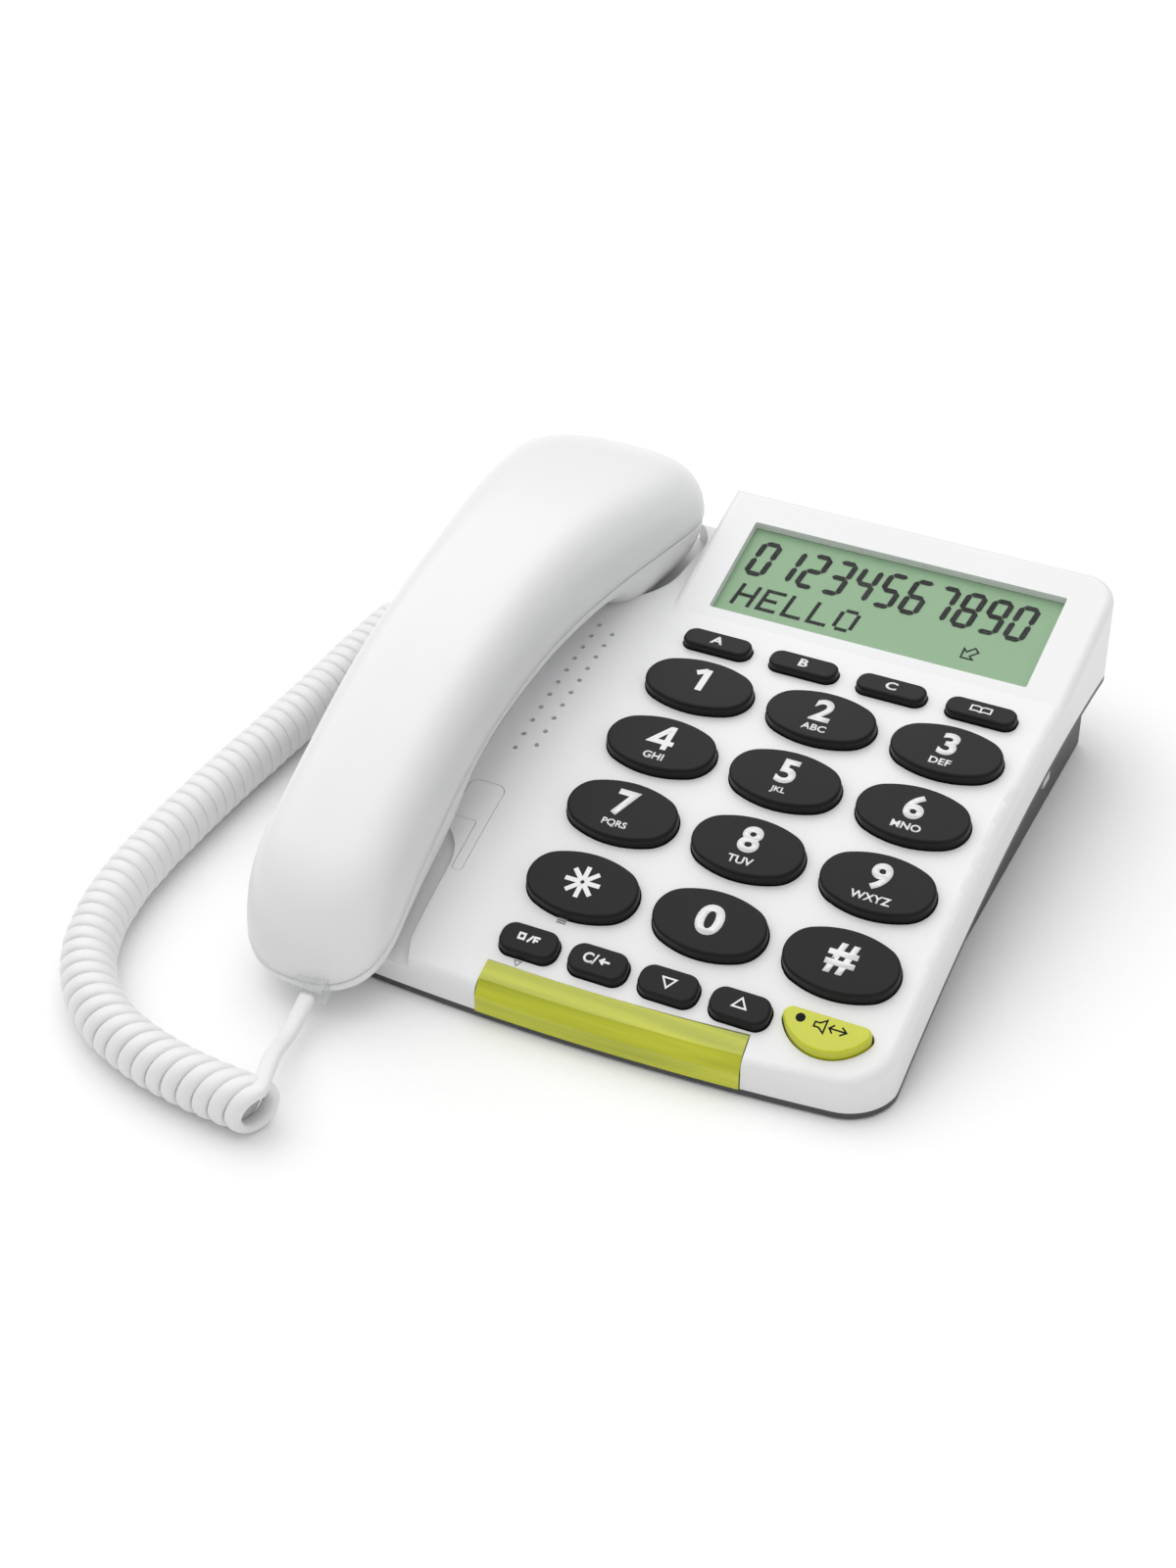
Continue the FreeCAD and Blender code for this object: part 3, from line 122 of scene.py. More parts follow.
# %% A bench to wire a material on
class Bench:
    """One material: its node tree, its main shader and the point of the surface in the part's frame."""

    def __init__(self, name):
        self.material = bpy.data.materials.new(name)
        self.material.use_nodes = True
        self.tree = self.material.node_tree
        self.shader = self.tree.nodes["Principled BSDF"]
        self.place = self.node("ShaderNodeTexCoord", output="Object")

    def plug(self, socket, value):
        if isinstance(value, Wire):
            self.tree.links.new(value.socket, socket)
        else:
            socket.default_value = value

    def node(self, kind, settings=None, sockets=None, output=0):
        """Adds a node: settings first, then values or wires for its sockets."""
        made = self.tree.nodes.new(kind)
        for name, value in (settings or {}).items():
            setattr(made, name, value)
        for name, value in (sockets or {}).items():
            self.plug(made.inputs[name], value)
        return Wire(self, made.outputs[output])

    def noise(self, size, detail=2.0, stretch=None):
        """Noise whose blobs are about that size, in metres, and longer along the axes in stretch."""
        place = self.place
        if stretch:
            place = self.node("ShaderNodeMapping", {}, {"Vector": place, "Scale": stretch})
        return self.node("ShaderNodeTexNoise", {}, {"Vector": place, "Scale": 1 / size, "Detail": detail})

    def mix(self, factor, low, high):
        """A colour between two others."""
        settings = {"data_type": "RGBA"}
        return self.node("ShaderNodeMix", settings, {0: factor, 6: (*low, 1.0), 7: (*high, 1.0)}, output=2)

    def finish(self, colour, rough, height=None, depth=0.0, **fixed):
        """Feeds the shader: a colour, a roughness, an optional bump, and plain values for the rest."""
        self.plug(self.shader.inputs["Base Color"], colour)
        self.plug(self.shader.inputs["Roughness"], rough)
        if height is not None:
            sockets = {"Height": height, "Distance": depth, "Strength": 1.0}
            self.plug(self.shader.inputs["Normal"], self.node("ShaderNodeBump", {}, sockets))
        for name, value in fixed.items():
            self.shader.inputs[name.replace("_", " ")].default_value = value
        return self.material


print("Bench is ready")

# %% [markdown]
# ## Moulded plastic
# Almost every visible piece here is injection moulded. Such plastic is never one flat colour: it has a
# faint cloudiness where it flowed, a spark-eroded grain of a few tenths of a millimetre that the mould
# left, and duller and shinier patches from handling. One function makes them all from a few numbers.


# %% Moulded plastics
def moulded(name, colour, rough, grain=0.25e-3, depth=2e-6, clouding=0.03, patches=0.08, **fixed):
    """A plastic with faint clouds, a fine mould grain and patches of handling."""
    bench = Bench(name)
    clouds = bench.noise(0.03, 3.0)
    specks = bench.noise(grain, 3.0)
    darker = tuple(part * (1 - clouding) for part in colour)
    lighter = tuple(min(1.0, part * (1 + clouding)) for part in colour)
    roughness = rough + (bench.noise(0.012, 4.0) - 0.5) * patches + (specks - 0.5) * 0.04
    return bench.finish(bench.mix(clouds, darker, lighter), roughness, specks, depth, **fixed)


WHITE = (0.81, 0.812, 0.818)
white_plastic = moulded("white_plastic", WHITE, 0.36, clouding=0.012, Coat_Weight=0.12, Coat_Roughness=0.16)
dark_plastic = moulded("dark_plastic", (0.058, 0.058, 0.062), 0.5, 0.35e-3, 8e-6, 0.1)
KEY_BLACK = (0.009, 0.009, 0.0098)
key_plastic = moulded("key_plastic", KEY_BLACK, 0.4, 0.3e-3, 5e-6, 0.12, Specular_IOR_Level=0.18)
inner_plastic = moulded("inner_plastic", (0.5, 0.5, 0.48), 0.5)
knob_plastic = moulded("knob_plastic", (0.55, 0.55, 0.54), 0.42)
black_rubber = moulded("black_rubber", (0.03, 0.03, 0.03), 0.75, 0.4e-3, 2e-5, 0.15)
silicone = moulded("silicone", (0.5, 0.5, 0.48), 0.55, 0.3e-3, 5e-6)
cord_jacket = moulded("cord_jacket", (0.8, 0.8, 0.8), 0.38, 0.5e-3, 4e-6, 0.02, 0.06)
print("plastics:", white_plastic.name, dark_plastic.name, key_plastic.name)

# %% [markdown]
# ## Clear and coloured parts
# The light bar and the boost key are a translucent yellow-green. Real ones carry faint flow streaks along
# the bar, so a noise stretched along X drives both colour and gloss. The window over the display is thin
# clear plastic: a low alpha lets the light through to the glass, and a smooth surface keeps its shine.
# The glass under it is grey-green, with slow clouds and faint columns where its electrodes run.


# %% Accent, clear plastic and display glass
def streaked(name, dark, light, stretch):
    """A glossy translucent plastic with streaks along one axis."""
    bench = Bench(name)
    streaks = bench.noise(0.0025, 3.0, stretch)
    fine = bench.noise(0.4e-3, 2.0)
    colour = bench.mix(streaks, dark, light)
    return bench.finish(colour, 0.14 + streaks * 0.12, fine, 3e-6, Coat_Weight=0.3)


def clear(name, alpha, hazy):
    """A clear moulded plastic with a faint haze, which adds up to the hazy share of alpha."""
    bench = Bench(name)
    haze = bench.noise(0.004, 3.0)
    material = bench.finish(bench.mix(haze, (0.62, 0.64, 0.64), (0.75, 0.77, 0.77)), 0.06 + haze * 0.05)
    bench.plug(bench.shader.inputs["Alpha"], alpha + haze * hazy)
    return material


def liquid_crystal():
    """Grey-green display glass with slow clouds and faint electrode columns."""
    bench = Bench("liquid_crystal")
    across = bench.node("ShaderNodeSeparateXYZ", {}, {0: bench.place})
    columns = across.maths("PINGPONG", across, 0.3 * MM) * 500.0
    shade = bench.noise(0.05, 1.0) * 0.85 + columns
    colour = bench.mix(shade, (0.263, 0.421, 0.253), (0.277, 0.441, 0.267))
    return bench.finish(colour, 0.3 + bench.noise(0.01) * 0.06, Specular_IOR_Level=0.2)


accent = streaked("accent_plastic", (0.22, 0.26, 0.004), (0.74, 0.76, 0.035), (0.03, 1.0, 1.0))
boost_plastic = streaked("boost_plastic", (0.5, 0.53, 0.008), (0.57, 0.6, 0.014), (1.0, 1.0, 1.0))
clear_plastic = clear("clear_plastic", 0.3, 0.08)
window_plastic = clear("window_plastic", 0.0, 0.04)
display_green = liquid_crystal()
print("clear parts:", accent.name, clear_plastic.name, display_green.name)

# %% [markdown]
# ## Metals, boards and inks
# These are mostly out of sight, but a phone turned over or opened shows them. Metal gets fine brushing
# from a stretched noise, the boards get a slightly mottled solder mask, and the inks of the legends are
# a touch uneven, as pad printing is.


# %% Metals, boards, inks
def metal(name, colour, rough):
    """A metal with fine brushing across its length."""
    bench = Bench(name)
    brushed = bench.noise(0.3e-3, 2.0, (1.0, 0.08, 1.0))
    darker = tuple(part * 0.85 for part in colour)
    shade = bench.mix(brushed, darker, colour)
    return bench.finish(shade, rough + brushed * 0.15, brushed, 3e-6, Metallic=1.0)


steel = metal("zinc_steel", (0.62, 0.62, 0.63), 0.25)
board_green = moulded("solder_mask", (0.02, 0.12, 0.045), 0.35, 0.8e-3, 6e-6, 0.2)
battery_sleeve = moulded("battery_sleeve", (0.09, 0.1, 0.13), 0.3, 1e-3, 2e-6, 0.15)
white_ink = moulded("white_ink", (0.8, 0.8, 0.8), 0.45, 0.2e-3, 1e-6, 0.04)
INK_BLACK = (0.006, 0.0065, 0.006)
black_ink = moulded("black_ink", INK_BLACK, 0.5, 0.2e-3, 1e-6, 0.1, Specular_IOR_Level=0.1)
grey_ink = moulded("grey_ink", (0.2, 0.2, 0.2), 0.5, 0.2e-3, 1e-6, 0.1)
print("metals and inks:", steel.name, white_ink.name)

# %% [markdown]
# ## Dressing the design's own parts
# Parts whose shape is already right keep their mesh and only change material. A table from part to
# material is easier to check than a line for each.

# %% Materials for the parts
FINISHES = {
    white_plastic: ["top_housing", "cradle_cover", "handset_upper", "handset_lower"],
    dark_plastic: ["bottom_shell", "battery_door"],
    accent: ["light_bar"],
    boost_plastic: ["boost_key"],
    clear_plastic: ["handset_plug", "base_plug"],
    window_plastic: ["display_window"],
    display_green: ["display_glass"],
    inner_plastic: ["display_carrier", "line_socket", "cord_socket", "hook_plunger", "handset_socket"],
    knob_plastic: ["ringer_switch"],
    black_rubber: ["rubber_feet"],
    silicone: ["dome_sheet"],
    board_green: ["main_board", "lamp_board", "hook_switch"],
    battery_sleeve: ["battery_cells"],
    cord_jacket: ["cord_lead_front", "cord_coil", "cord_lead_rear"],
}
STEEL = ["loudspeaker", "battery_contacts", "housing_screws", "hook_spring", "ear_capsule", "microphone"]
FINISHES[steel] = STEEL + ["balance_weight", "handset_screws"]
FINISHES[key_plastic] = [name for name in nodes if "key" in name and name != "boost_key"]
for material, names in FINISHES.items():
    for name in names:
        slots = nodes[name].data.materials
        slots.clear()
        slots.append(material)
print("dressed", sum(len(names) for names in FINISHES.values()), "parts")


# %% [markdown]
# ## Making and placing pieces
# Every new piece is a mesh in the design's frame and rides on one body. Small helpers do that, and one
# more bends sines and cosines for boxy round outlines.


# %% Mesh helpers
def power(value, exponent):
    """A power that keeps the sign. Below one, it squares a circle made from sines a little."""
    return math.copysign(abs(value) ** exponent, value)


def mesh_piece(name, points, faces, material, smooth=True):
    """A new mesh object from points and faces."""
    mesh = bpy.data.meshes.new(name)
    mesh.from_pydata([tuple(point) for point in points], [], faces)
    mesh.update()
    piece = bpy.data.objects.new(name, mesh)
    bpy.context.scene.collection.objects.link(piece)
    mesh.materials.append(material)
    if smooth:
        mesh.shade_smooth()
    return piece


def apply_modifiers(piece):
    """Turns a piece's modifiers into plain mesh."""
    bpy.context.view_layer.update()
    final = bpy.data.meshes.new_from_object(piece.evaluated_get(bpy.context.evaluated_depsgraph_get()))
    piece.modifiers.clear()
    piece.data = final


def settle(piece, body, slot):
    """The piece rides on a body. The slot is not used."""
    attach(piece, body)
    return piece


print("mesh helpers are ready")

# %% [markdown]
# ## The curly cord
# A curly cord is a flat cord wound tightly round a rod and baked. It leaves the handset as a short
# straight lead, becomes a coil whose turns nearly touch, and ends in another straight lead with a plug.
# First the route: one smooth spline for each lead and one for the middle line of the coil, with the same
# control points as the plain tubes in the design.

# %% Route of the cord
LEAD_FRONT = [
    (-51.0, -104.6, 8.25),
    (-50.7, -111.0, 5.9),
    (-49.8, -118.0, 5.6),
    (-47.9, -127.0, 9.0),
    (-45.2, -136.0, 10.8),
]
COIL = [
    (-41.0, -141.5, 7.0),
    (-54.0, -141.0, 7.0),
    (-72.0, -138.5, 7.0),
    (-90.0, -132.0, 7.0),
    (-104.0, -119.0, 7.0),
    (-111.5, -102.0, 7.0),
    (-114.5, -82.0, 7.0),
    (-114.2, -60.0, 7.0),
    (-113.2, -38.0, 7.0),
    (-111.2, -16.0, 7.0),
    (-109.8, 6.0, 7.0),
    (-109.2, 28.0, 7.0),
    (-107.4, 46.0, 7.0),
]
LEAD_REAR = [
    (-107.5, 45.0, 7.0),
    (-106.5, 54.0, 7.2),
    (-102.4, 61.6, 9.0),
    (-95.6, 64.3, 11.0),
    (-89.0, 62.2, 12.2),
]


def spline_points(route):
    """Points read from a smooth spline that has the route as its control points."""
    curve = bpy.data.curves.new("route", "CURVE")
    curve.dimensions = "3D"
    curve.resolution_u = 24
    spline = curve.splines.new("NURBS")
    spline.points.add(len(route) - 1)
    for point, place in zip(spline.points, route):
        point.co = (*(Vector(place) * MM + BASE_MIDDLE), 1.0)
    spline.order_u = 3
    spline.use_endpoint_u = True
    holder = bpy.data.objects.new("route", curve)
    bpy.context.scene.collection.objects.link(holder)
    bpy.context.view_layer.update()
    mesh = bpy.data.meshes.new_from_object(holder)
    points = np.array([tuple(vertex.co) for vertex in mesh.vertices])
    bpy.data.objects.remove(holder)
    return points


def along(points, step):
    """The same line, with its points evenly spaced."""
    lengths = np.concatenate([[0], np.cumsum(np.linalg.norm(np.diff(points, axis=0), axis=1))])
    places = np.linspace(0, lengths[-1], max(2, round(lengths[-1] / step) + 1))
    return np.stack([np.interp(places, lengths, points[:, axis]) for axis in range(3)], axis=1)


COIL_STEP = 0.1 * MM
LEAD_STEP = 1.2 * MM
coil_line = along(spline_points(COIL), COIL_STEP)
print("coil's middle line is", round(len(coil_line) * COIL_STEP / MM), "mm long")

# %% [markdown]
# The turns are worked out by a loop that goes round the middle line: each step moves a little forward and
# turns a little. Round a bend the turns open on the outside, as they do on the real cord, because the
# pitch is measured along the middle line.

# %% Turns of the coil
CORD_WIDTH = 4.2 * MM
CORD_THICK = 2.6 * MM
COIL_RADIUS = 6.9 * MM - CORD_THICK / 2
PITCH = 4.15
EXTRA_PITCH = 0.5
STEPS = 26
UP = np.array((0.0, 0.0, 1.0))


def coil_turns(line):
    """The winding's centre line and the way across it. Its first turns are open and lean outwards."""
    last = (len(line) - 1) * COIL_STEP - CORD_WIDTH / 2
    run = CORD_WIDTH * 0.3
    index = 0
    turns = []
    across = []
    while run < last:
        spot = run / COIL_STEP
        low = min(int(spot), len(line) - 2)
        centre = line[low] + (line[low + 1] - line[low]) * (spot - low)
        ahead = line[min(low + 5, len(line) - 1)] - line[max(low - 5, 0)]
        ahead = ahead / np.linalg.norm(ahead)
        side = np.cross(UP, ahead)
        turn = math.pi / 2 - 2 * math.pi * index / STEPS
        wobble = 1.0 - 0.012 * (1 + math.sin(index * 0.37) * math.sin(index * 0.053))
        reach = COIL_RADIUS * wobble
        lean = ahead * 0.5 * math.exp(-index / (10 * STEPS))
        turns.append(centre + (side + lean) * reach * math.cos(turn) + UP * reach * math.sin(turn))
        across.append(ahead)
        pitch = (PITCH + EXTRA_PITCH * math.exp(-index / (14 * STEPS))) * MM
        run += pitch / STEPS
        index += 1
    return np.array(turns), np.array(across)


def in_base(point):
    """A point in millimetres from the middle of the base."""
    return tuple((Vector(point) - BASE_MIDDLE) / MM)


winding, winding_across = coil_turns(coil_line)
front_lead = along(spline_points(LEAD_FRONT[:-1] + [in_base(winding[0])]), LEAD_STEP)
rear_lead = along(spline_points([in_base(winding[-1])] + LEAD_REAR[1:]), LEAD_STEP)
cord_path = np.concatenate([front_lead[:-1], winding, rear_lead[1:]])
front_across = np.cross(np.gradient(front_lead, axis=0), UP)[:-1]
rear_across = np.cross(np.gradient(rear_lead, axis=0), UP)[1:]
cord_across = np.concatenate([front_across, winding_across, rear_across])


# %% [markdown]
# The jacket is then swept along that line. It is flat, with round edges, and lies flat on the rod that it
# was wound on: its wide way is along the coil, and level on the two leads.


# %% Jacket
def sweep_flat(name, path, across, wide, thick, sides, material):
    """A closed flat tube along a line of points, wide in the given direction at each."""
    ahead = np.gradient(path, axis=0)
    ahead /= np.linalg.norm(ahead, axis=1)[:, None]
    points = []
    before = across[0]
    for spot, forward, way in zip(path, ahead, across):
        way = way - forward * np.dot(way, forward)
        way = way / np.linalg.norm(way)
        if np.dot(way, before) < 0:
            way = -way
        before = way
        other = np.cross(forward, way)
        for side in range(sides):
            turn = 2 * math.pi * side / sides
            reach = way * power(math.cos(turn), 0.8) * wide / 2
            points.append(spot + reach + other * power(math.sin(turn), 0.8) * thick / 2)
    faces = []
    for ring in range(len(path) - 1):
        for side in range(sides):
            after = (side + 1) % sides
            base = ring * sides
            faces.append((base + side, base + after, base + sides + after, base + sides + side))
    faces.append(tuple(reversed(range(sides))))
    faces.append(tuple(range(len(points) - sides, len(points))))
    return mesh_piece(name, points, faces, material)


curly_cord = sweep_flat("curly_cord", cord_path, cord_across, CORD_WIDTH, CORD_THICK, 14, cord_jacket)
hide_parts("cord_lead_front", "cord_coil", "cord_lead_rear")
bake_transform(curly_cord)
print("curly cord:", len(curly_cord.data.vertices), "points")

# %% [markdown]
# ## The handset
# The handset is two shells that meet at a fine groove all round. Both are pillows: seen from above they
# share one outline, and from that outline the surface rises, or falls, to a spine down the middle. So
# each shell is a set of rings between outline and spine, with a height for every ring. A few chosen
# heights along the handset, joined smoothly, give its arch.

# %% Lines of the handset
SPINE_X = -56.0 * MM
FRONT_Y = -102.4 * MM
BACK_Y = 93.3 * MM
FRONT_REACH = 19.0 * MM
BACK_REACH = 30.0 * MM
SIDE_STEPS = 46
END_STEPS = 32
SQUARING = 0.8


def smooth_line(table):
    """A function that passes smoothly through a few places and values, given in millimetres."""
    places = np.array([place for place, _ in table]) * MM
    values = np.array([value for _, value in table]) * MM
    slopes = np.gradient(values, places)

    def value_at(place):
        place = min(max(place, places[0]), places[-1])
        index = min(int(np.searchsorted(places, place, side="right")) - 1, len(places) - 2)
        span = places[index + 1] - places[index]
        t = (place - places[index]) / span
        ends = values[index] * (1 + 2 * t) * (1 - t) ** 2 + values[index + 1] * t * t * (3 - 2 * t)
        return ends + span * (slopes[index] * t * (1 - t) ** 2 - slopes[index + 1] * t * t * (1 - t))

    return value_at


WIDTH = [(-103, 19.8), (-90, 19.6), (-78, 19.1), (-60, 18.9), (-30, 19.5), (0, 20.6)]
WIDTH += [(30, 23.8), (52, 26.8), (72, 28.1), (94, 27.4)]
half_width = smooth_line(WIDTH)
TOP = [(-103, 28), (-94, 35), (-80, 43.8), (-63, 52.4), (-40, 61.2), (-10, 67.6), (16, 69.4)]
TOP += [(45, 67.6), (70, 62.6), (94, 54)]
top_line = smooth_line(TOP)
RIM = [(-103, 9.6), (-94, 14.6), (-82, 22), (-63, 32.6), (-51, 38.6), (-35, 44.6), (-15, 48.5), (10, 50.2)]
RIM += [(30, 50), (50, 48.6), (68, 46.2), (82, 43.6), (94, 40.8)]
rim_line = smooth_line(RIM)
LOW = [(-103, 3.6), (-94, 5.8), (-80, 10.8), (-66, 15.9), (-57, 19.4), (-51, 24.5), (-44, 34), (-36, 38.2)]
LOW += [(-10, 41.6), (12, 42.6), (26, 41.8), (34, 38.5), (40, 33), (46, 30.2), (54, 29.6), (94, 29.6)]
low_line = smooth_line(LOW)
print("handset spine at x =", round(SPINE_X, 4))


# %% [markdown]
# The outline has straight-ish sides and two boxy round ends. Raising sine and cosine to a power below one
# squares a circle a little, which is the shape such mouldings have.


# %% Outline of the handset
def handset_ring():
    """Walks once round: each step is an outline point and the spine point it belongs to."""
    front = FRONT_Y + FRONT_REACH
    back = BACK_Y - BACK_REACH
    ring = []
    for step in range(SIDE_STEPS):
        y = front + (back - front) * step / SIDE_STEPS
        ring.append((half_width(y), y, y))
    for step in range(END_STEPS):
        turn = math.pi * step / END_STEPS
        x = half_width(back + BACK_REACH * math.sin(turn) * 0.5) * power(math.cos(turn), SQUARING)
        ring.append((x, back + BACK_REACH * power(math.sin(turn), SQUARING), back))
    for step in range(SIDE_STEPS):
        y = back + (front - back) * step / SIDE_STEPS
        ring.append((-half_width(y), y, y))
    for step in range(END_STEPS):
        turn = math.pi * step / END_STEPS
        x = -half_width(front) * power(math.cos(turn), SQUARING)
        ring.append((x, front - FRONT_REACH * power(math.sin(turn), SQUARING), front))
    return ring


def pillow(name, levels, material):
    """A closed form from rings: each level is a reach from the spine, an inset and a height rule."""
    ring = handset_ring()
    points = []
    for reach, inset, height in levels:
        for x, y, spine in ring:
            distance = math.hypot(x, y - spine)
            share = reach * (1 - inset / distance)
            place_y = spine + (y - spine) * share
            points.append(Vector((SPINE_X + x * share, place_y, height(place_y))) + BASE_MIDDLE)
    count = len(ring)
    faces = []
    for level in range(len(levels) - 1):
        for step in range(count):
            after = (step + 1) % count
            base = level * count
            faces.append((base + step, base + count + step, base + count + after, base + after))
    piece = mesh_piece(name, points, faces, material)
    work = bmesh.new()
    work.from_mesh(piece.data)
    bmesh.ops.remove_doubles(work, verts=work.verts, dist=1e-6)
    bmesh.ops.recalc_face_normals(work, faces=work.faces)
    work.to_mesh(piece.data)
    work.free()
    return piece


print("the outline has", len(handset_ring()), "steps")


# %% [markdown]
# The upper shell is a dome with a vertical edge, the lower one is boxier so that its ear and mouth caps
# have flat faces. The lower shell starts a little inside the upper one, and a small step there makes the
# dark line of the parting groove.


# %% Shells of the handset
DOME_RINGS = 16
BOWL_RINGS = 20
GROOVE = 1.5 * MM


def beside_rim(offset):
    """A height rule: the parting line, raised by an offset in millimetres."""
    return lambda y: rim_line(y) + offset * MM


def dome_height(share):
    """A height rule: part of the way from the parting line up to the top line."""
    return lambda y: rim_line(y) + (top_line(y) - rim_line(y)) * share


def bowl_height(share):
    """A height rule: part of the way from under the groove down to the lowest line."""
    return lambda y: rim_line(y) - GROOVE - (rim_line(y) - GROOVE - low_line(y)) * share


def dome_levels():
    """Levels of the upper shell, from the spine out to its edge and back under."""
    levels = []
    for index in range(DOME_RINGS + 1):
        reach = math.sin(math.pi / 2 * index / DOME_RINGS)
        levels.append((reach, 0.0, dome_height((1 - reach**5) ** 0.5)))
    edge = [(1.0, 0.25, -0.35), (1.0, 1.4, -0.35), (1.0, 1.6, 0.6), (0.5, 0.0, 0.6), (0.0, 0.0, 0.6)]
    return levels + [(reach, inset * MM, beside_rim(offset)) for reach, inset, offset in edge]


def bowl_levels():
    """Levels of the lower shell, from its lowest line out to the groove and back over."""
    levels = []
    for index in range(BOWL_RINGS):
        reach = math.sin(math.pi / 2 * index / BOWL_RINGS)
        levels.append((reach, 0.3 * MM * reach, bowl_height((1 - reach**4.2) ** 0.5)))
    edge = [(1.0, 0.3, -1.7), (1.0, 0.35, -1.25), (1.0, 0.6, -1.1), (1.0, 1.3, -1.1)]
    edge += [(1.0, 1.4, 0.2), (0.5, 0.0, 0.2), (0.0, 0.0, 0.2)]
    return levels + [(reach, inset * MM, beside_rim(offset)) for reach, inset, offset in edge]


upper_shell = pillow("handset_upper_shell", dome_levels(), white_plastic)
lower_shell = pillow("handset_lower_shell", bowl_levels(), white_plastic)
print("shells:", len(upper_shell.data.polygons), "and", len(lower_shell.data.polygons), "faces")


# %% [markdown]
# Sound holes and screw recesses are cut from the lower shell with booleans:
# a real hole has an edge that catches the light, which a dark dot hasn't.


# %% Holes in the lower shell
def drill(name, x, y, low, high, radius, sides=20):
    """A cutter: an upright cylinder, in millimetres."""
    points = []
    for z in (low, high):
        for side in range(sides):
            turn = 2 * math.pi * side / sides
            spot = Vector((x + radius * math.cos(turn), y + radius * math.sin(turn), z))
            points.append(spot * MM + BASE_MIDDLE)
    faces = [tuple(reversed(range(sides))), tuple(range(sides, 2 * sides))]
    for side in range(sides):
        after = (side + 1) % sides
        faces.append((side, after, sides + after, sides + side))
    return mesh_piece(name, points, faces, white_plastic, smooth=False)


def cut_away(piece, cutters):
    """Cuts several pieces out of one."""
    for cutter in cutters:
        change = piece.modifiers.new("cut", "BOOLEAN")
        change.object = cutter
        change.solver = "EXACT"
    apply_modifiers(piece)
    for cutter in cutters:
        bpy.data.objects.remove(cutter)


EAR_Y = 65.2
EAR_RING = 6.5
MOUTH_Y = -68.0
x_mid = SPINE_X / MM
cutters = [drill("ear_hole", x_mid, EAR_Y, 20, 33, 1.3)]
for index in range(6):
    turn = math.pi / 3 * index
    x = x_mid + EAR_RING * math.cos(turn)
    cutters.append(drill("ear_hole", x, EAR_Y + EAR_RING * math.sin(turn), 20, 33, 1.3))
for offset in (-4, 0, 4):
    cutters.append(drill("mouth_hole", x_mid + offset, MOUTH_Y, 0, 19, 0.9))
for screw_y in (-38.0, 24.0):
    cutters.append(drill("screw_recess", x_mid, screw_y, 30, 44.5, 2.4))
cut_away(lower_shell, cutters)
for shell, node in ((upper_shell, "handset_upper"), (lower_shell, "handset_lower")):
    shell.data.shade_smooth()
    settle(shell, "handset", "white_housing")
    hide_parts(node)
print("lower shell has", len(lower_shell.data.polygons), "faces after drilling")

# %% [markdown]
# ## Legends
# The figures on the keys are printed. They are flat letters laid on the arched key tops: the text is
# turned into a mesh, sliced into narrow strips across the keypad so that it can bend, and every point is
# set on the arc, a few hundredths of a millimetre proud.

# %% The keypad's own frame
TILT = math.radians(12.0)
KEYPAD = Matrix.Translation(Vector((0.0304, -0.0225, 0.033)) + BASE_MIDDLE) @ Matrix.Rotation(TILT, 4, "X")
BIG_TOP = 335.0 * MM
SMALL_TOP = 334.5 * MM
DECK = 332.0 * MM
ARC_CENTRE = 335.0 * MM
PROUD = 0.04 * MM


def on_arc(radius):
    """Height above the keypad plane of an arc about the keypad's own centre line."""

    def height(v):
        return -ARC_CENTRE + math.sqrt(radius**2 - v**2)

    return height


def text_mesh(text, size, boldness):
    """A flat mesh of letters, centred on the origin."""
    curve = bpy.data.curves.new("letters", "FONT")
    curve.body = text
    curve.size = size * MM
    curve.offset = boldness * MM
    curve.align_x = "CENTER"
    curve.resolution_u = 6
    holder = bpy.data.objects.new("letters", curve)
    bpy.context.scene.collection.objects.link(holder)
    bpy.context.view_layer.update()
    mesh = bpy.data.meshes.new_from_object(holder)
    bpy.data.objects.remove(holder)
    return mesh


def centre_mesh(mesh, height=None, widen=1.0):
    """Moves a flat mesh's box to the origin and gives it a height."""
    places = np.array([tuple(vertex.co) for vertex in mesh.vertices])
    low = places.min(0)
    high = places.max(0)
    scale = height * MM / (high[1] - low[1]) if height else 1.0
    for vertex in mesh.vertices:
        vertex.co.x = (vertex.co.x - (low[0] + high[0]) / 2) * scale * widen
        vertex.co.y = (vertex.co.y - (low[1] + high[1]) / 2) * scale
    return mesh


def lay_down(name, mesh, x, v, surface, place, body, slot, material):
    """Bends a flat mesh onto a surface of the given frame and makes it a thin solid."""
    work = bmesh.new()
    work.from_mesh(mesh)
    bmesh.ops.translate(work, verts=work.verts, vec=(x * MM, v * MM, 0.0))
    ys = [vertex.co.y for vertex in work.verts]
    cuts = max(1, int((max(ys) - min(ys)) / (1.5 * MM)))
    for index in range(1, cuts):
        spot = min(ys) + (max(ys) - min(ys)) * index / cuts
        everything = work.verts[:] + work.edges[:] + work.faces[:]
        bmesh.ops.bisect_plane(work, geom=everything, plane_co=(0, spot, 0), plane_no=(0, 1, 0))
    for vertex in work.verts:
        vertex.co.z = surface(vertex.co.y) + PROUD
    bmesh.ops.transform(work, matrix=place, verts=work.verts)
    flat = bpy.data.meshes.new(name)
    work.to_mesh(flat)
    work.free()
    piece = bpy.data.objects.new(name, flat)
    bpy.context.scene.collection.objects.link(piece)
    thick = piece.modifiers.new("thick", "SOLIDIFY")
    thick.thickness = 0.09 * MM
    thick.offset = -1.0
    apply_modifiers(piece)
    piece.data.materials.clear()
    piece.data.materials.append(material)
    return settle(piece, body, slot)


print("legend helpers are ready")

